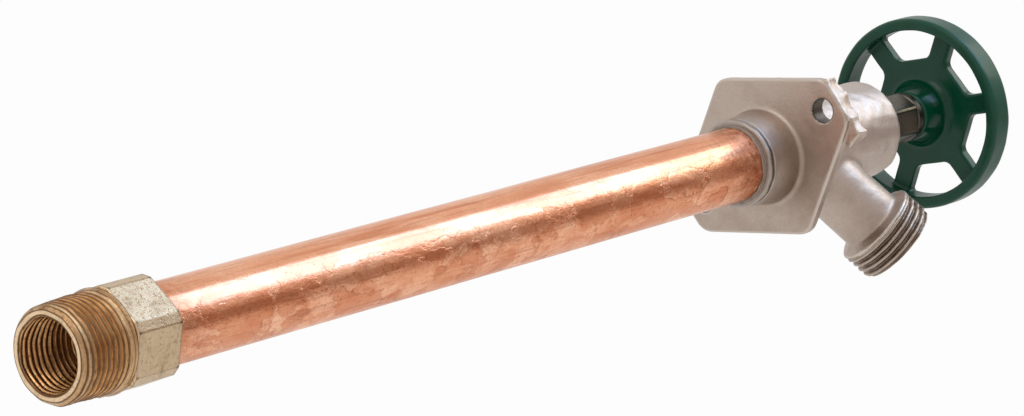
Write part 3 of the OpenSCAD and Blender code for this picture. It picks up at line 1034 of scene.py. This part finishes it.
@dataclass(frozen=True)
class Tube:
    """Drawn copper tube."""

    radius: float = 11.11
    bore: float = 9.97
    ends: Point = (-281.5, 3.0)

    def build(self) -> bpy.types.Object:
        """Turns outside, ends and bore as one closed section, with the slight unevenness of a drawn tube.

        Returns:
            The finished piece.
        """
        piece = Turning("supply_tube_drawn", 160, 0.12, uneven=Uneven(Waves(21, 46.0), 0.018))
        a, b = self.ends
        piece.section([
            (Row(self.bore, a), 2), (Row(self.radius, a), 180),
            (Row(self.radius, b), 2), (Row(self.bore, b), 60),
        ])
        return piece.build()


@dataclass(frozen=True)
class SolderRing:
    """Bead of solder in the corner between the tube and the piece it enters."""

    name: str
    seat: float
    width: float
    height: float
    seed: int
    tube: float = 11.09

    def build(self) -> bpy.types.Object:
        """Turns a hollow fillet whose width and height swell and shrink with slow waves round the tube.

        Returns:
            The finished piece.
        """
        piece = Turning(self.name, 160, 0.05, uneven=Uneven(Waves(self.seed, 6.0), 0.2))
        hollow = [(1.0, 0.0), (0.62, 0.1), (0.34, 0.28), (0.16, 0.55), (0.06, 0.82), (0.0, 1.0)]
        rows = [Row(self.tube + u * self.width, self.seat + v * self.height) for u, v in hollow]
        sunk = Row(self.tube - 0.5, self.seat - 0.1 * math.copysign(1, self.height))
        piece.section([(row, 2) for row in (sunk, *rows)])
        return piece.build()


class Shader:
    """A shader tree that is filled node by node."""

    def __init__(self, tree: bpy.types.NodeTree) -> None:
        """Empties the tree.

        Args:
            tree: The tree to fill.
        """
        self.tree = tree
        tree.nodes.clear()

    def node(self, kind: str, inputs: dict[str | int, object], **settings: object) -> bpy.types.Node:
        """Adds a node and feeds its inputs.

        Args:
            kind: Blender's name of the node type.
            inputs: Values or output sockets by input.
            **settings: Properties of the node.

        Returns:
            The node.
        """
        made = self.tree.nodes.new(kind)
        for key, value in settings.items():
            setattr(made, key, value)
        for key, value in inputs.items():
            if isinstance(value, bpy.types.NodeSocket):
                self.tree.links.new(value, made.inputs[key])
            else:
                made.inputs[key].default_value = value
        return made

    def place(self, stretch: Triple = (1, 1, 1)) -> bpy.types.NodeSocket:
        """Object coordinates, stretched along the axes.

        Args:
            stretch: Factor for each axis.

        Returns:
            Vector socket.
        """
        origin = self.node("ShaderNodeTexCoord", {}).outputs["Object"]
        return self.node("ShaderNodeVectorMath", {0: origin, 1: stretch}, operation="MULTIPLY").outputs[0]

    def axis(self, name: str) -> bpy.types.NodeSocket:
        """One of the object coordinates in metres."""
        return self.node("ShaderNodeSeparateXYZ", {0: self.place()}).outputs[name]

    def noise(self, size: float, detail: float = 4.0, stretch: Triple = (1, 1, 1),
              rough: float = 0.55, swirl: float = 0.0) -> bpy.types.NodeSocket:
        """Noise with features of a given size.

        Args:
            size: Feature size in millimetres.
            detail: Octaves.
            stretch: Factor for each axis.
            rough: Share of each finer octave.
            swirl: How far the noise is pushed about by itself.

        Returns:
            Value socket.
        """
        inputs = {"Vector": self.place(stretch), "Scale": 1 / (size * MM), "Detail": detail,
                  "Roughness": rough, "Distortion": swirl}
        return self.node("ShaderNodeTexNoise", inputs).outputs["Fac"]

    def bands(self, value: bpy.types.NodeSocket, stops: list[tuple[float, Colour]]) -> bpy.types.NodeSocket:
        """Colours by value, blended between stops.

        Args:
            value: Input socket from 0 to 1.
            stops: Places and colours in order.

        Returns:
            Colour socket.
        """
        made = self.node("ShaderNodeValToRGB", {0: value})
        elements = made.color_ramp.elements
        elements.remove(elements[0])
        elements[0].position, elements[0].color = stops[0][0], (*stops[0][1], 1)
        for place, colour in stops[1:]:
            elements.new(place).color = (*colour, 1)
        return made.outputs[0]

    def ramp(self, value: bpy.types.NodeSocket, low: float, high: float, to_low: float = 0.0,
             to_high: float = 1.0) -> bpy.types.NodeSocket:
        """Clamped straight line from one range to another.

        Args:
            value: Input socket.
            low: Input where the line starts.
            high: Input where it ends.
            to_low: Output at the start.
            to_high: Output at the end.

        Returns:
            Value socket.
        """
        inputs = {0: value, 1: low, 2: high, 3: to_low, 4: to_high}
        return self.node("ShaderNodeMapRange", inputs).outputs[0]

    def sum(self, kind: str, a: object, b: object) -> bpy.types.NodeSocket:
        """Result of one arithmetic step on two values, kept between 0 and 1."""
        return self.node("ShaderNodeMath", {0: a, 1: b}, operation=kind, use_clamp=True).outputs[0]

    def mix(self, share: object, a: object, b: object) -> bpy.types.NodeSocket:
        """Mixes two colours.

        Args:
            share: Share of the second one.
            a: First colour or socket.
            b: Second colour or socket.

        Returns:
            Colour socket.
        """
        made = self.node("ShaderNodeMix", {0: share}, data_type="RGBA")
        for index, value in ((6, a), (7, b)):
            if isinstance(value, bpy.types.NodeSocket):
                self.tree.links.new(value, made.inputs[index])
            else:
                made.inputs[index].default_value = (*value, 1)
        return made.outputs[2]

    def mark(self, mark: Mark) -> bpy.types.NodeSocket:
        """Value of one of the piece's attributes, 0 where it has none."""
        return self.node("ShaderNodeAttribute", {}, attribute_name=mark.value).outputs["Fac"]

    def bump(self, height: bpy.types.NodeSocket, depth: float, below: object = None) -> bpy.types.NodeSocket:
        """Raises the surface by a height.

        Args:
            height: Height socket from 0 to 1.
            depth: Real height in millimetres.
            below: Normal of the bump underneath.

        Returns:
            Normal socket.
        """
        inputs = {"Height": height, "Distance": depth * MM, "Strength": 1.0}
        if below is not None:
            inputs["Normal"] = below
        return self.node("ShaderNodeBump", inputs).outputs[0]

    def surface(self, **inputs: object) -> None:
        """Ends the tree in one principled surface.

        Args:
            **inputs: Values or sockets by input name, with _ for a space.
        """
        named = {key.replace("_", " "): value for key, value in inputs.items()}
        shader = self.node("ShaderNodeBsdfPrincipled", named)
        self.node("ShaderNodeOutputMaterial", {"Surface": shader.outputs[0]})


@dataclass(frozen=True)
class Finish:
    """A finish, which fills the shader tree of its material."""

    name: str

    def fill(self, tree: Shader) -> None:
        """Adds the finish's nodes to an empty tree."""
        raise NotImplementedError

    def material(self) -> bpy.types.Material:
        """Makes the material.

        Returns:
            The filled material.
        """
        made = bpy.data.materials.new(self.name)
        made.use_nodes = True
        self.fill(Shader(made.node_tree))
        return made


@dataclass(frozen=True)
class Metal(Finish):
    """Metal with stain patches, grain, worn edges and painted shade in its grooves and hollows."""

    base: Colour
    stain: Colour
    worn: Colour
    # Colour of the painted shade in grooves, bores and hollows.
    groove: Colour
    zone: Colour | None = None
    stain_size: float = 9.0
    stain_from: float = 0.5
    stain_to: float = 0.75
    stain_share: float = 0.6
    rough: Point = (0.28, 0.45)
    grain: float = 0.7
    grain_depth: float = 0.02
    lumps: float = 6.0
    lumps_depth: float = 0.0
    # Share of painted shade in the hollows found by bending.
    sunk: float = 0.45
    # Slope of the stain mask per metre across the part, which paints a gradient of shade.
    shade_slope: Triple = (0, 0, 0)

    def fill(self, tree: Shader) -> None:
        """Mixes stain, zone, wear and painted-shade colours over the base, and takes bumps from the same
        noises.

        Args:
            tree: Empty tree of the material.
        """
        fine = tree.noise(self.grain, 3)
        blotch = tree.noise(self.stain_size, 5, rough=0.6)
        # The slope paints shade: the stain grows towards one side of the part.
        shade_sloped = tree.node("ShaderNodeVectorMath", {0: tree.place(), 1: self.shade_slope}, operation="DOT_PRODUCT")
        blotch = tree.sum("ADD", blotch, shade_sloped.outputs["Value"])
        stains_and_shade = tree.ramp(blotch, self.stain_from, self.stain_to, 0, self.stain_share)
        colour = tree.mix(stains_and_shade, self.base, self.stain)
        if self.zone is not None:
            colour = tree.mix(tree.mark(Mark.ZONE), colour, self.zone)
        colour = tree.mix(tree.ramp(fine, 0.35, 0.75, 0, 0.22), colour, self.stain)
        curve = tree.mark(Mark.CURVE)
        worn = tree.sum("MULTIPLY", tree.ramp(curve, 0.35, 1.2), tree.ramp(blotch, 0.3, 0.6, 0.35, 0.9))
        colour = tree.mix(worn, colour, self.worn)
        # Painted shade: the groove colour in hollows found by bending and where the groove mark lies.
        sunk = tree.sum("MAXIMUM", tree.ramp(curve, -0.25, -0.9, 0, self.sunk),
                        tree.sum("MULTIPLY", tree.mark(Mark.GROOVE), 0.85))
        colour = tree.mix(sunk, colour, self.groove)
        dull = tree.sum("ADD", tree.ramp(fine, 0.3, 0.7, 0, 0.6), tree.ramp(blotch, 0.4, 0.8, 0, 0.4))
        rough = tree.ramp(dull, 0, 1, *self.rough)
        normal = tree.bump(fine, self.grain_depth)
        if self.lumps_depth:
            normal = tree.bump(tree.noise(self.lumps, 3), self.lumps_depth, normal)
        tree.surface(Base_Color=colour, Metallic=1.0, Roughness=rough, Normal=normal)


@dataclass(frozen=True)
class PipeBrass(Finish):
    """Used brass of the inlet: threads with painted shade in their grooves, scratched first turns and pitted
    flats.
    """

    thread: Colour
    worn: Colour
    # Colour of the end face, paler than the rest of the brass: painted light.
    face: Colour
    flats: Colour
    # Colour of the painted shade in the thread grooves, the hexagon's shoulder and the bore.
    root: Colour
    dirt: Colour
    bright: Colour

    def fill(self, tree: Shader) -> None:
        """Colours by zone, then dirt, scratches round the axis, pits, bright edges and painted shade in
        grooves and hollows.

        Args:
            tree: Empty tree of the material.
        """
        zone = tree.mark(Mark.ZONE)
        used = tree.ramp(zone, 0.62, 0.7, 1, 0.2)
        colour = tree.bands(zone, [(0.0, self.thread), (0.3, self.worn), (0.62, self.worn),
                                   (0.72, self.face), (0.9, self.flats), (1.0, self.flats)])
        blotch = tree.noise(4.5, 5, rough=0.65, swirl=0.6)
        colour = tree.mix(tree.ramp(blotch, 0.52, 0.76, 0, 0.45), colour, self.dirt)
        turns = tree.sum("MULTIPLY", tree.ramp(zone, 0.1, 0.45), tree.ramp(zone, 0.68, 0.58))
        turns = tree.sum("MULTIPLY", turns, tree.ramp(tree.axis("Z"), -3 * MM, 8 * MM, 0.1, 1))
        darkening = tree.ramp(tree.noise(3.2, 6, rough=0.68, swirl=0.4), 0.46, 0.6, 0, 0.75)
        colour = tree.mix(tree.sum("MULTIPLY", turns, darkening), colour, self.dirt)
        scratch = tree.noise(0.45, 4, (0.1, 1, 0.1), 0.6)
        lines = tree.sum("MULTIPLY", tree.ramp(scratch, 0.52, 0.66, 0, 0.65), used)
        colour = tree.mix(lines, colour, self.dirt)
        pits = tree.noise(0.9, 3, rough=0.7)
        specks = tree.ramp(pits, 0.56, 0.68, 0, 0.5)
        colour = tree.mix(specks, colour, self.dirt)
        curve = tree.mark(Mark.CURVE)
        edge = tree.sum("MULTIPLY", tree.ramp(curve, 0.4, 1.3), tree.ramp(blotch, 0.35, 0.6, 0.8, 0.25))
        colour = tree.mix(edge, colour, self.bright)
        # Painted shade: in the thread grooves, in hollows found by bending, and where the zone is below 0.
        roots = tree.ramp(tree.mark(Mark.GROOVE), 0.4, 0.8, 0, 0.9)
        corner = tree.sum("MAXIMUM", tree.ramp(curve, -0.4, -1.2, 0, 0.8),
                          tree.ramp(zone, -0.2, -0.8, 0, 0.85))
        colour = tree.mix(tree.sum("MAXIMUM", roots, corner), colour, self.root)
        normal = tree.bump(tree.ramp(pits, 0.5, 0.7, 1, 0), 0.05)
        normal = tree.bump(scratch, 0.03, normal)
        rough = tree.ramp(tree.sum("ADD", specks, tree.ramp(blotch, 0.4, 0.7, 0, 0.5)), 0, 1, 0.3, 0.52)
        tree.surface(Base_Color=colour, Metallic=1.0, Roughness=rough, Normal=normal)


@dataclass(frozen=True)
class Copper(Finish):
    """Drawn copper that was handled: streaked above, crumpled and mottled below, with painted shadow along
    flake edges.
    """

    base: Colour
    pale: Colour
    dark: Colour
    # Brown of stains, heat marks and specks, also used for the painted shadow at flake edges.
    brown: Colour

    def fill(self, tree: Shader) -> None:
        """Patches and streaks of colour, painted shadow at flake edges, and a crumpled bump growing towards
        the underside.

        Args:
            tree: Empty tree of the material.
        """
        below = tree.ramp(tree.axis("Z"), 2.5 * MM, -4 * MM)
        patch = tree.noise(15, 5, (1, 0.35, 1), 0.6, 0.4)
        crumple = tree.noise(6, 6, (1, 0.6, 1), 0.62, 0.5)
        torn = tree.noise(11, 8, (1, 0.6, 1), 0.6, 0.3)
        flake = tree.ramp(torn, 0.49, 0.515)
        edge = tree.sum("MULTIPLY", tree.ramp(torn, 0.49, 0.51), tree.ramp(torn, 0.53, 0.505))
        streak = tree.noise(0.9, 3, (1, 0.04, 1))
        stripe = tree.sum("MULTIPLY", tree.ramp(tree.noise(2.6, 4, (1, 0.05, 1)), 0.5, 0.66, 0, 0.8),
                          tree.ramp(below, 0, 0.5, 1, 0))
        ends = tree.sum("MAXIMUM", tree.ramp(tree.axis("Y"), 36 * MM, 17 * MM),
                        tree.ramp(tree.axis("Y"), 250 * MM, 270 * MM, 0, 0.6))
        heat = tree.sum("MULTIPLY", ends, tree.ramp(tree.noise(2.2, 6, rough=0.7), 0.38, 0.62, 0.2, 1))
        fine = tree.noise(0.8, 3)
        colour = tree.mix(tree.ramp(patch, 0.36, 0.54, 0, 0.8), self.pale, self.base)
        colour = tree.mix(tree.ramp(patch, 0.52, 0.7, 0, 0.55), colour, self.dark)
        mottle = tree.sum("MULTIPLY", tree.ramp(crumple, 0.46, 0.64, 0, 0.75), below)
        colour = tree.mix(mottle, colour, self.dark)
        colour = tree.mix(tree.sum("MULTIPLY", flake, tree.ramp(below, 0, 1, 0.12, 0.6)), colour, self.dark)
        specks = tree.sum("MULTIPLY", tree.ramp(tree.noise(1.3, 4, rough=0.7), 0.57, 0.66, 0, 0.5), below)
        colour = tree.mix(specks, colour, self.brown)
        # Painted shadow: thin brown lines along the edges of the flakes, on the underside.
        flake_shadow = tree.sum("MULTIPLY", edge, tree.ramp(crumple, 0.44, 0.6, 0, 0.45))
        colour = tree.mix(tree.sum("MULTIPLY", flake_shadow, below), colour, self.brown)
        colour = tree.mix(stripe, colour, self.dark)
        colour = tree.mix(heat, colour, self.brown)
        colour = tree.mix(tree.ramp(fine, 0.4, 0.7, 0, 0.3), colour, self.dark)
        colour = tree.mix(tree.ramp(streak, 0.54, 0.74, 0, 0.35), colour, self.brown)
        colour = tree.mix(tree.ramp(tree.noise(1.5, 2), 0.7, 0.76, 0, 0.6), colour, self.brown)
        crumpled = tree.sum("MULTIPLY", crumple, tree.ramp(below, 0, 1, 0.12, 1))
        normal = tree.bump(crumpled, 0.28)
        flakes = tree.sum("MULTIPLY", flake, tree.ramp(below, 0, 1, 0.1, 1))
        normal = tree.bump(flakes, 0.06, normal)
        normal = tree.bump(tree.sum("MULTIPLY", fine, tree.ramp(below, 0, 1, 0.2, 1)), 0.03, normal)
        normal = tree.bump(streak, 0.006, normal)
        dull = tree.sum("ADD", tree.ramp(patch, 0.4, 0.65, 0, 0.4), tree.ramp(below, 0, 1, 0, 0.6))
        rough = tree.sum("MAXIMUM", tree.ramp(dull, 0, 1, 0.14, 0.28), tree.ramp(ends, 0, 1, 0, 0.5))
        tree.surface(Base_Color=colour, Metallic=1.0, Roughness=rough, Normal=normal,
                     Specular_Tint=(0.93, 0.84, 0.78, 1))


@dataclass(frozen=True)
class Enamel(Finish):
    """Glossy paint on a casting, thin on its edges."""

    base: Colour
    pale: Colour
    rough: Point = (0.14, 0.24)
    dulled: Point = (14.0, 25.0)
    dull: float = 0.17

    def fill(self, tree: Shader) -> None:
        """Paint with a clear coat, orange peel, paler edges and a rim dulled by hands.

        Args:
            tree: Empty tree of the material.
        """
        cloud = tree.noise(8, 4)
        peel = tree.noise(1.6, 2)
        reach = tree.node("ShaderNodeVectorMath", {0: tree.place((1, 0, 1))}, operation="LENGTH")
        hands = tree.ramp(reach.outputs["Value"], self.dulled[0] * MM, self.dulled[1] * MM, 0, self.dull)
        rough = tree.sum("ADD", tree.ramp(cloud, 0.3, 0.7, *self.rough), hands)
        colour = tree.mix(tree.ramp(cloud, 0.4, 0.75, 0, 0.35), self.base, self.pale)
        colour = tree.mix(tree.ramp(tree.mark(Mark.CURVE), 0.4, 1.3, 0, 0.35), colour, self.pale)
        tree.surface(Base_Color=colour, Roughness=rough, IOR=1.34, Coat_Weight=0.04, Coat_Roughness=0.1,
                     Normal=tree.bump(peel, 0.012))


@dataclass(frozen=True)
class Soft(Finish):
    """Rubber or fibre packing."""

    base: Colour
    pale: Colour

    def fill(self, tree: Shader) -> None:
        """Dull surface with dust and a fine grain.

        Args:
            tree: Empty tree of the material.
        """
        dust = tree.noise(2.5, 5)
        colour = tree.mix(tree.ramp(dust, 0.45, 0.8, 0, 0.5), self.base, self.pale)
        tree.surface(Base_Color=colour, Roughness=tree.ramp(dust, 0.3, 0.7, 0.55, 0.85),
                     Normal=tree.bump(tree.noise(0.4, 3), 0.02))


@dataclass(frozen=True)
class PaleFloor(Finish):
    """Floor that the camera and the light see, and that reflections look through."""

    shades: Point = (0.86, 0.9)
    clouds: float = 400.0
    glow: float = 0.3

    def fill(self, tree: Shader) -> None:
        """Matt floor that glows a little to the camera and is clear to reflections.

        Args:
            tree: Empty tree of the material.
        """
        dark, light = ((shade,) * 3 for shade in self.shades)
        colour = tree.mix(tree.ramp(tree.noise(self.clouds, 3), 0.3, 0.7), dark, light)
        path = tree.node("ShaderNodeLightPath", {})
        matt = tree.node("ShaderNodeBsdfDiffuse", {"Color": colour})
        strength = tree.ramp(path.outputs["Is Camera Ray"], 0, 1, 0, self.glow)
        glow = tree.node("ShaderNodeEmission", {"Strength": strength})
        pale = tree.node("ShaderNodeAddShader", {0: matt.outputs[0], 1: glow.outputs[0]})
        clear = tree.node("ShaderNodeBsdfTransparent", {})
        inputs = {0: path.outputs["Is Glossy Ray"], 1: pale.outputs[0], 2: clear.outputs[0]}
        mixed = tree.node("ShaderNodeMixShader", inputs)
        tree.node("ShaderNodeOutputMaterial", {"Surface": mixed.outputs[0]})


class Finishes:
    """All finishes of the part by material slot."""

    def __init__(self) -> None:
        """Makes one material for each finish."""
        # The fourth colour of each metal is its painted shade in grooves and hollows.
        styles = {
            # Its stain slope paints the casting lighter towards the top and darker lower down.
            Slot.CASTING: Metal(
                "plated_casting", srgb(186, 170, 158), srgb(156, 136, 122), srgb(204, 192, 181),
                srgb(60, 50, 43), zone=srgb(182, 163, 148), stain_size=22, stain_from=0.45, stain_to=0.72,
                stain_share=0.8, rough=(0.4, 0.54), grain=0.8, grain_depth=0.06, lumps=4.5,
                lumps_depth=0.12, sunk=0.0, shade_slope=(-1.6, 2.5, -2.7)
            ),
            Slot.THREAD: Metal(
                "used_thread", srgb(158, 141, 127), srgb(118, 100, 87), srgb(184, 169, 155),
                srgb(108, 91, 78), stain_size=5, rough=(0.36, 0.52), grain_depth=0.05, lumps=1.8,
                lumps_depth=0.3
            ),
            Slot.COPPER: Copper(
                "drawn_copper", srgb(231, 165, 128), srgb(241, 187, 154), srgb(204, 125, 87),
                srgb(146, 80, 50)
            ),
            # The inlet's face colour is painted light and its root colour painted shade.
            Slot.INLET: PipeBrass(
                "inlet_brass", srgb(208, 152, 96), srgb(196, 158, 116), srgb(240, 212, 174),
                srgb(198, 174, 142), srgb(78, 44, 20), srgb(116, 80, 50), srgb(232, 206, 164)
            ),
            Slot.SOLDER: Metal(
                "solder", srgb(158, 145, 134), srgb(112, 97, 86), srgb(206, 196, 186), srgb(74, 62, 54),
                stain_size=3, rough=(0.4, 0.6), lumps=1.6, lumps_depth=0.22
            ),
            # The nut's pale edge colour is partly wear and partly a painted highlight on the edges of its
            # flats.
            Slot.NUT: Metal("plated_nut", srgb(104, 98, 88), srgb(80, 72, 64), srgb(240, 236, 228),
                            srgb(60, 54, 48), rough=(0.24, 0.4)),
            Slot.BRASS: Metal("turned_brass", srgb(222, 184, 112), srgb(170, 128, 68), srgb(244, 218, 160),
                              srgb(110, 80, 40), rough=(0.2, 0.36)),
            Slot.STEEL: Metal("bright_steel", srgb(200, 200, 198), srgb(150, 148, 144), srgb(236, 236, 236),
                              srgb(96, 94, 92), rough=(0.2, 0.36)),
            Slot.PACKING: Soft("packing", srgb(66, 66, 64), srgb(104, 102, 98)),
            Slot.RUBBER: Soft("black_rubber", srgb(30, 30, 30), srgb(58, 57, 55)),
            Slot.ENAMEL: Enamel("green_enamel", srgb(0, 58, 38), srgb(14, 76, 54)),
        }
        self.materials = {slot: style.material() for slot, style in styles.items()}

    def dress(self, piece: bpy.types.Object, slot: Slot) -> None:
        """Gives a piece the finish of one slot.

        Args:
            piece: Mesh object.
            slot: The record's slot.
        """
        piece.data.materials.clear()
        piece.data.materials.append(self.materials[slot])


@dataclass(frozen=True)
class Camera:
    """The photo's camera: a turn and a shift of the part in front of it, and the focal length in pixels."""

    turn: Triple = (0.1304, -1.5702, 1.5986)
    shift: Triple = (74.96, -15.41, 1326.07)
    focal: float = 4426.3
    width: int = 1024
    sensor: float = 36.0
    clip: Point = (0.05, 20.0)

    def axes(self) -> Matrix:
        """Columns to the right, up and back of the camera in the part's frame.

        Returns:
            The camera's axes.
        """
        turn = Vector(self.turn)
        seen = Matrix.Rotation(turn.length, 3, turn.normalized())
        return Matrix((seen[0], -seen[1], -seen[2])).transposed()

    def place(self) -> Vector:
        """Where the camera stands, in metres."""
        right, down, ahead = self.shift
        return self.axes() @ Vector((-right, down, ahead)) * MM

    def build(self) -> None:
        """Makes the camera and gives it to the scene."""
        data = bpy.data.cameras.new("camera")
        data.sensor_width = self.sensor
        data.lens = self.focal * self.sensor / self.width
        data.clip_start, data.clip_end = self.clip
        camera = bpy.data.objects.new("camera", data)
        camera.matrix_world = Matrix.Translation(self.place()) @ self.axes().to_4x4()
        bpy.context.scene.collection.objects.link(camera)
        bpy.context.scene.camera = camera


@dataclass(frozen=True)
class Panel:
    """A soft light, placed by how far right, up and back of the part it stands in the photo."""

    name: str
    right: float
    up: float
    back: float
    size: Point
    watts: float
    colour: Colour = (1, 1, 1)

    def build(self, axes: Matrix, target: Vector) -> None:
        """Makes the light with its long side along the tube and turns it to the part.

        Args:
            axes: The camera's axes.
            target: What it shines on.
        """
        data = bpy.data.lights.new(self.name, "AREA")
        data.shape = "RECTANGLE"
        data.size, data.size_y = self.size
        data.energy = self.watts
        data.color = self.colour
        light = bpy.data.objects.new(self.name, data)
        way = axes @ Vector((self.right, self.up, self.back))
        tube = Vector((0, -1, 0))
        away = (way - tube * way.dot(tube)).normalized()
        turned = Matrix((tube, away.cross(tube), away)).transposed()
        light.matrix_world = Matrix.Translation(target + way) @ turned.to_4x4()
        light.visible_camera = False
        bpy.context.scene.collection.objects.link(light)


@dataclass(frozen=True)
class Studio:
    """Pale floor, white background and soft lights."""

    floor: float = -0.42
    floor_half: float = 4.0
    target: Triple = (0.0, 0.1, 0.0)
    ambient: float = 0.7
    shade: Colour = (0.46, 0.36, 0.31)
    white: float = 0.98

    def build(self, camera: Camera) -> None:
        """Makes the stage round the part.

        Args:
            camera: The photo's camera, whose axes place the lights.
        """
        self.backdrop(camera.axes())
        self.ground()
        lights = [
            Panel("key", 0.432, 0.455, -0.114, (0.47, 0.36), 2.4, (0.36, 0.6, 1.0)),
            Panel("side", 0.726, 0.52, -0.45, (0.43, 0.4), 1.5, (0.88, 0.82, 0.6)),
            Panel("front", -0.5, 0.9, 1.0, (1.2, 0.8), 4),
        ]
        for light in lights:
            light.build(camera.axes(), Vector(self.target))

    def backdrop(self, axes: Matrix) -> None:
        """White to the camera and in reflections, apart from dark flags on the right and behind the camera.

        Args:
            axes: The camera's axes.
        """
        world = bpy.data.worlds.new("studio")
        world.use_nodes = True
        tree = Shader(world.node_tree)
        way = tree.node("ShaderNodeTexCoord", {}).outputs["Generated"]
        right, up, back = (
            tree.node("ShaderNodeVectorMath", {0: way, 1: axis}, operation="DOT_PRODUCT").outputs["Value"]
            for axis in axes.transposed()
        )
        path = tree.node("ShaderNodeLightPath", {})
        flag = tree.sum("MULTIPLY", tree.ramp(up, -0.24, -0.06), tree.ramp(up, 0.42, 0.16))
        flag = tree.sum("MULTIPLY", flag, tree.ramp(right, 0.72, 0.88))
        flag = tree.sum("MAXIMUM", flag, tree.ramp(back, 0.5, 0.9, 0, 0.5))
        first = tree.ramp(path.outputs["Ray Depth"], 2, 3, 1, 0)
        flag = tree.sum("SUBTRACT", tree.sum("MULTIPLY", flag, first), path.outputs["Is Camera Ray"])
        mirror = tree.sum("MAXIMUM", path.outputs["Is Glossy Ray"], path.outputs["Is Transmission Ray"])
        shown = tree.sum("MAXIMUM", mirror, path.outputs["Is Camera Ray"])
        tint = tree.mix(flag, (1, 1, 1), self.shade)
        seen = tree.node("ShaderNodeBackground", {"Color": tint, "Strength": self.white})
        lit = tree.node("ShaderNodeBackground", {"Color": (1, 1, 1, 1), "Strength": self.ambient})
        mixed = tree.node("ShaderNodeMixShader", {0: shown, 1: lit.outputs[0], 2: seen.outputs[0]})
        tree.node("ShaderNodeOutputWorld", {"Surface": mixed.outputs[0]})
        bpy.context.scene.world = world

    def ground(self) -> None:
        """Wide pale floor that catches the part's shadow and lets reflections see the white backdrop."""
        mesh = bpy.data.meshes.new("floor")
        around = ((-1, -1), (1, -1), (1, 1), (-1, 1))
        corners = [(x * self.floor_half, y * self.floor_half, self.floor) for x, y in around]
        mesh.from_pydata(corners, [], [(0, 1, 2, 3)])
        mesh.materials.append(PaleFloor("pale_floor").material())
        floor = bpy.data.objects.new("floor", mesh)
        bpy.context.scene.collection.objects.link(floor)


class Sillcock:
    """The whole part: new pieces that stand for solids, and dressed solids."""

    def __init__(self, nodes: dict[str, bpy.types.Object]) -> None:
        """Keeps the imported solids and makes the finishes.

        Args:
            nodes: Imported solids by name.
        """
        self.nodes = nodes
        self.finishes = Finishes()

    def add(self, piece: bpy.types.Object, body: Body, slot: Slot, *stands_for: str) -> None:
        """Dresses a new piece, lets it ride on a body and hides the solids it stands for.

        Args:
            piece: The new piece.
            body: Body that carries it.
            slot: Slot of its finish.
            *stands_for: Names of the solids.
        """
        self.finishes.dress(piece, slot)
        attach(piece, body.value)
        if stands_for:
            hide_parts(*stands_for)
        LOG.info("built %s: %d faces on %s", piece.name, len(piece.data.polygons), body.value)

    def dress(self, slot: Slot, *names: str) -> None:
        """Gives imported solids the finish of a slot.

        Args:
            slot: The record's slot.
            *names: Names of the solids.
        """
        for name in names:
            self.finishes.dress(self.nodes[name], slot)
            LOG.info("dressed %s as %s", name, slot.value)

    def build(self) -> None:
        """Builds every piece in order, from the casting to the small inner parts."""
        self.add(CastBody().build(), Body.FIXED, Slot.CASTING, "valve_body")
        self.add(HoseEnd().build(), Body.FIXED, Slot.THREAD)
        self.add(Tube().build(), Body.FIXED, Slot.COPPER, "supply_tube")
        self.add(Inlet().build(), Body.FIXED, Slot.INLET, "inlet_fitting")
        beads = [
            SolderRing("body_solder", -14.5, 1.4, -0.9, 31),
            SolderRing("inlet_solder", -270.5, 1.8, 2.6, 32),
        ]
        for bead in beads:
            self.add(bead.build(), Body.FIXED, Slot.SOLDER, f"{bead.name}_ring")
        self.add(PackingNut().build(), Body.FIXED, Slot.NUT, "packing_nut")
        self.add(CastWheel().build(), Body.TURNING, Slot.ENAMEL, "handwheel")
        self.dress(Slot.BRASS, "packing_washer", "washer_holder", "washer_screw", "stem")
        self.dress(Slot.PACKING, "packing_ring_inner", "packing_ring_outer")
        self.dress(Slot.RUBBER, "seat_washer", "stem_o_ring")
        self.dress(Slot.COPPER, "operating_rod")
        self.dress(Slot.STEEL, "swivel_pin", "rod_pin", "lock_washer", "handle_screw")


def main() -> None:
    """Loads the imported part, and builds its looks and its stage."""
    logging.basicConfig(level=logging.INFO, format="%(name)s: %(message)s")
    bpy.context.scene.view_settings.view_transform = "Standard"
    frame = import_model()
    Sillcock(frame["nodes"]).build()
    camera = Camera()
    camera.build()
    Studio().build(camera)


if __name__ == "__main__":
    main()
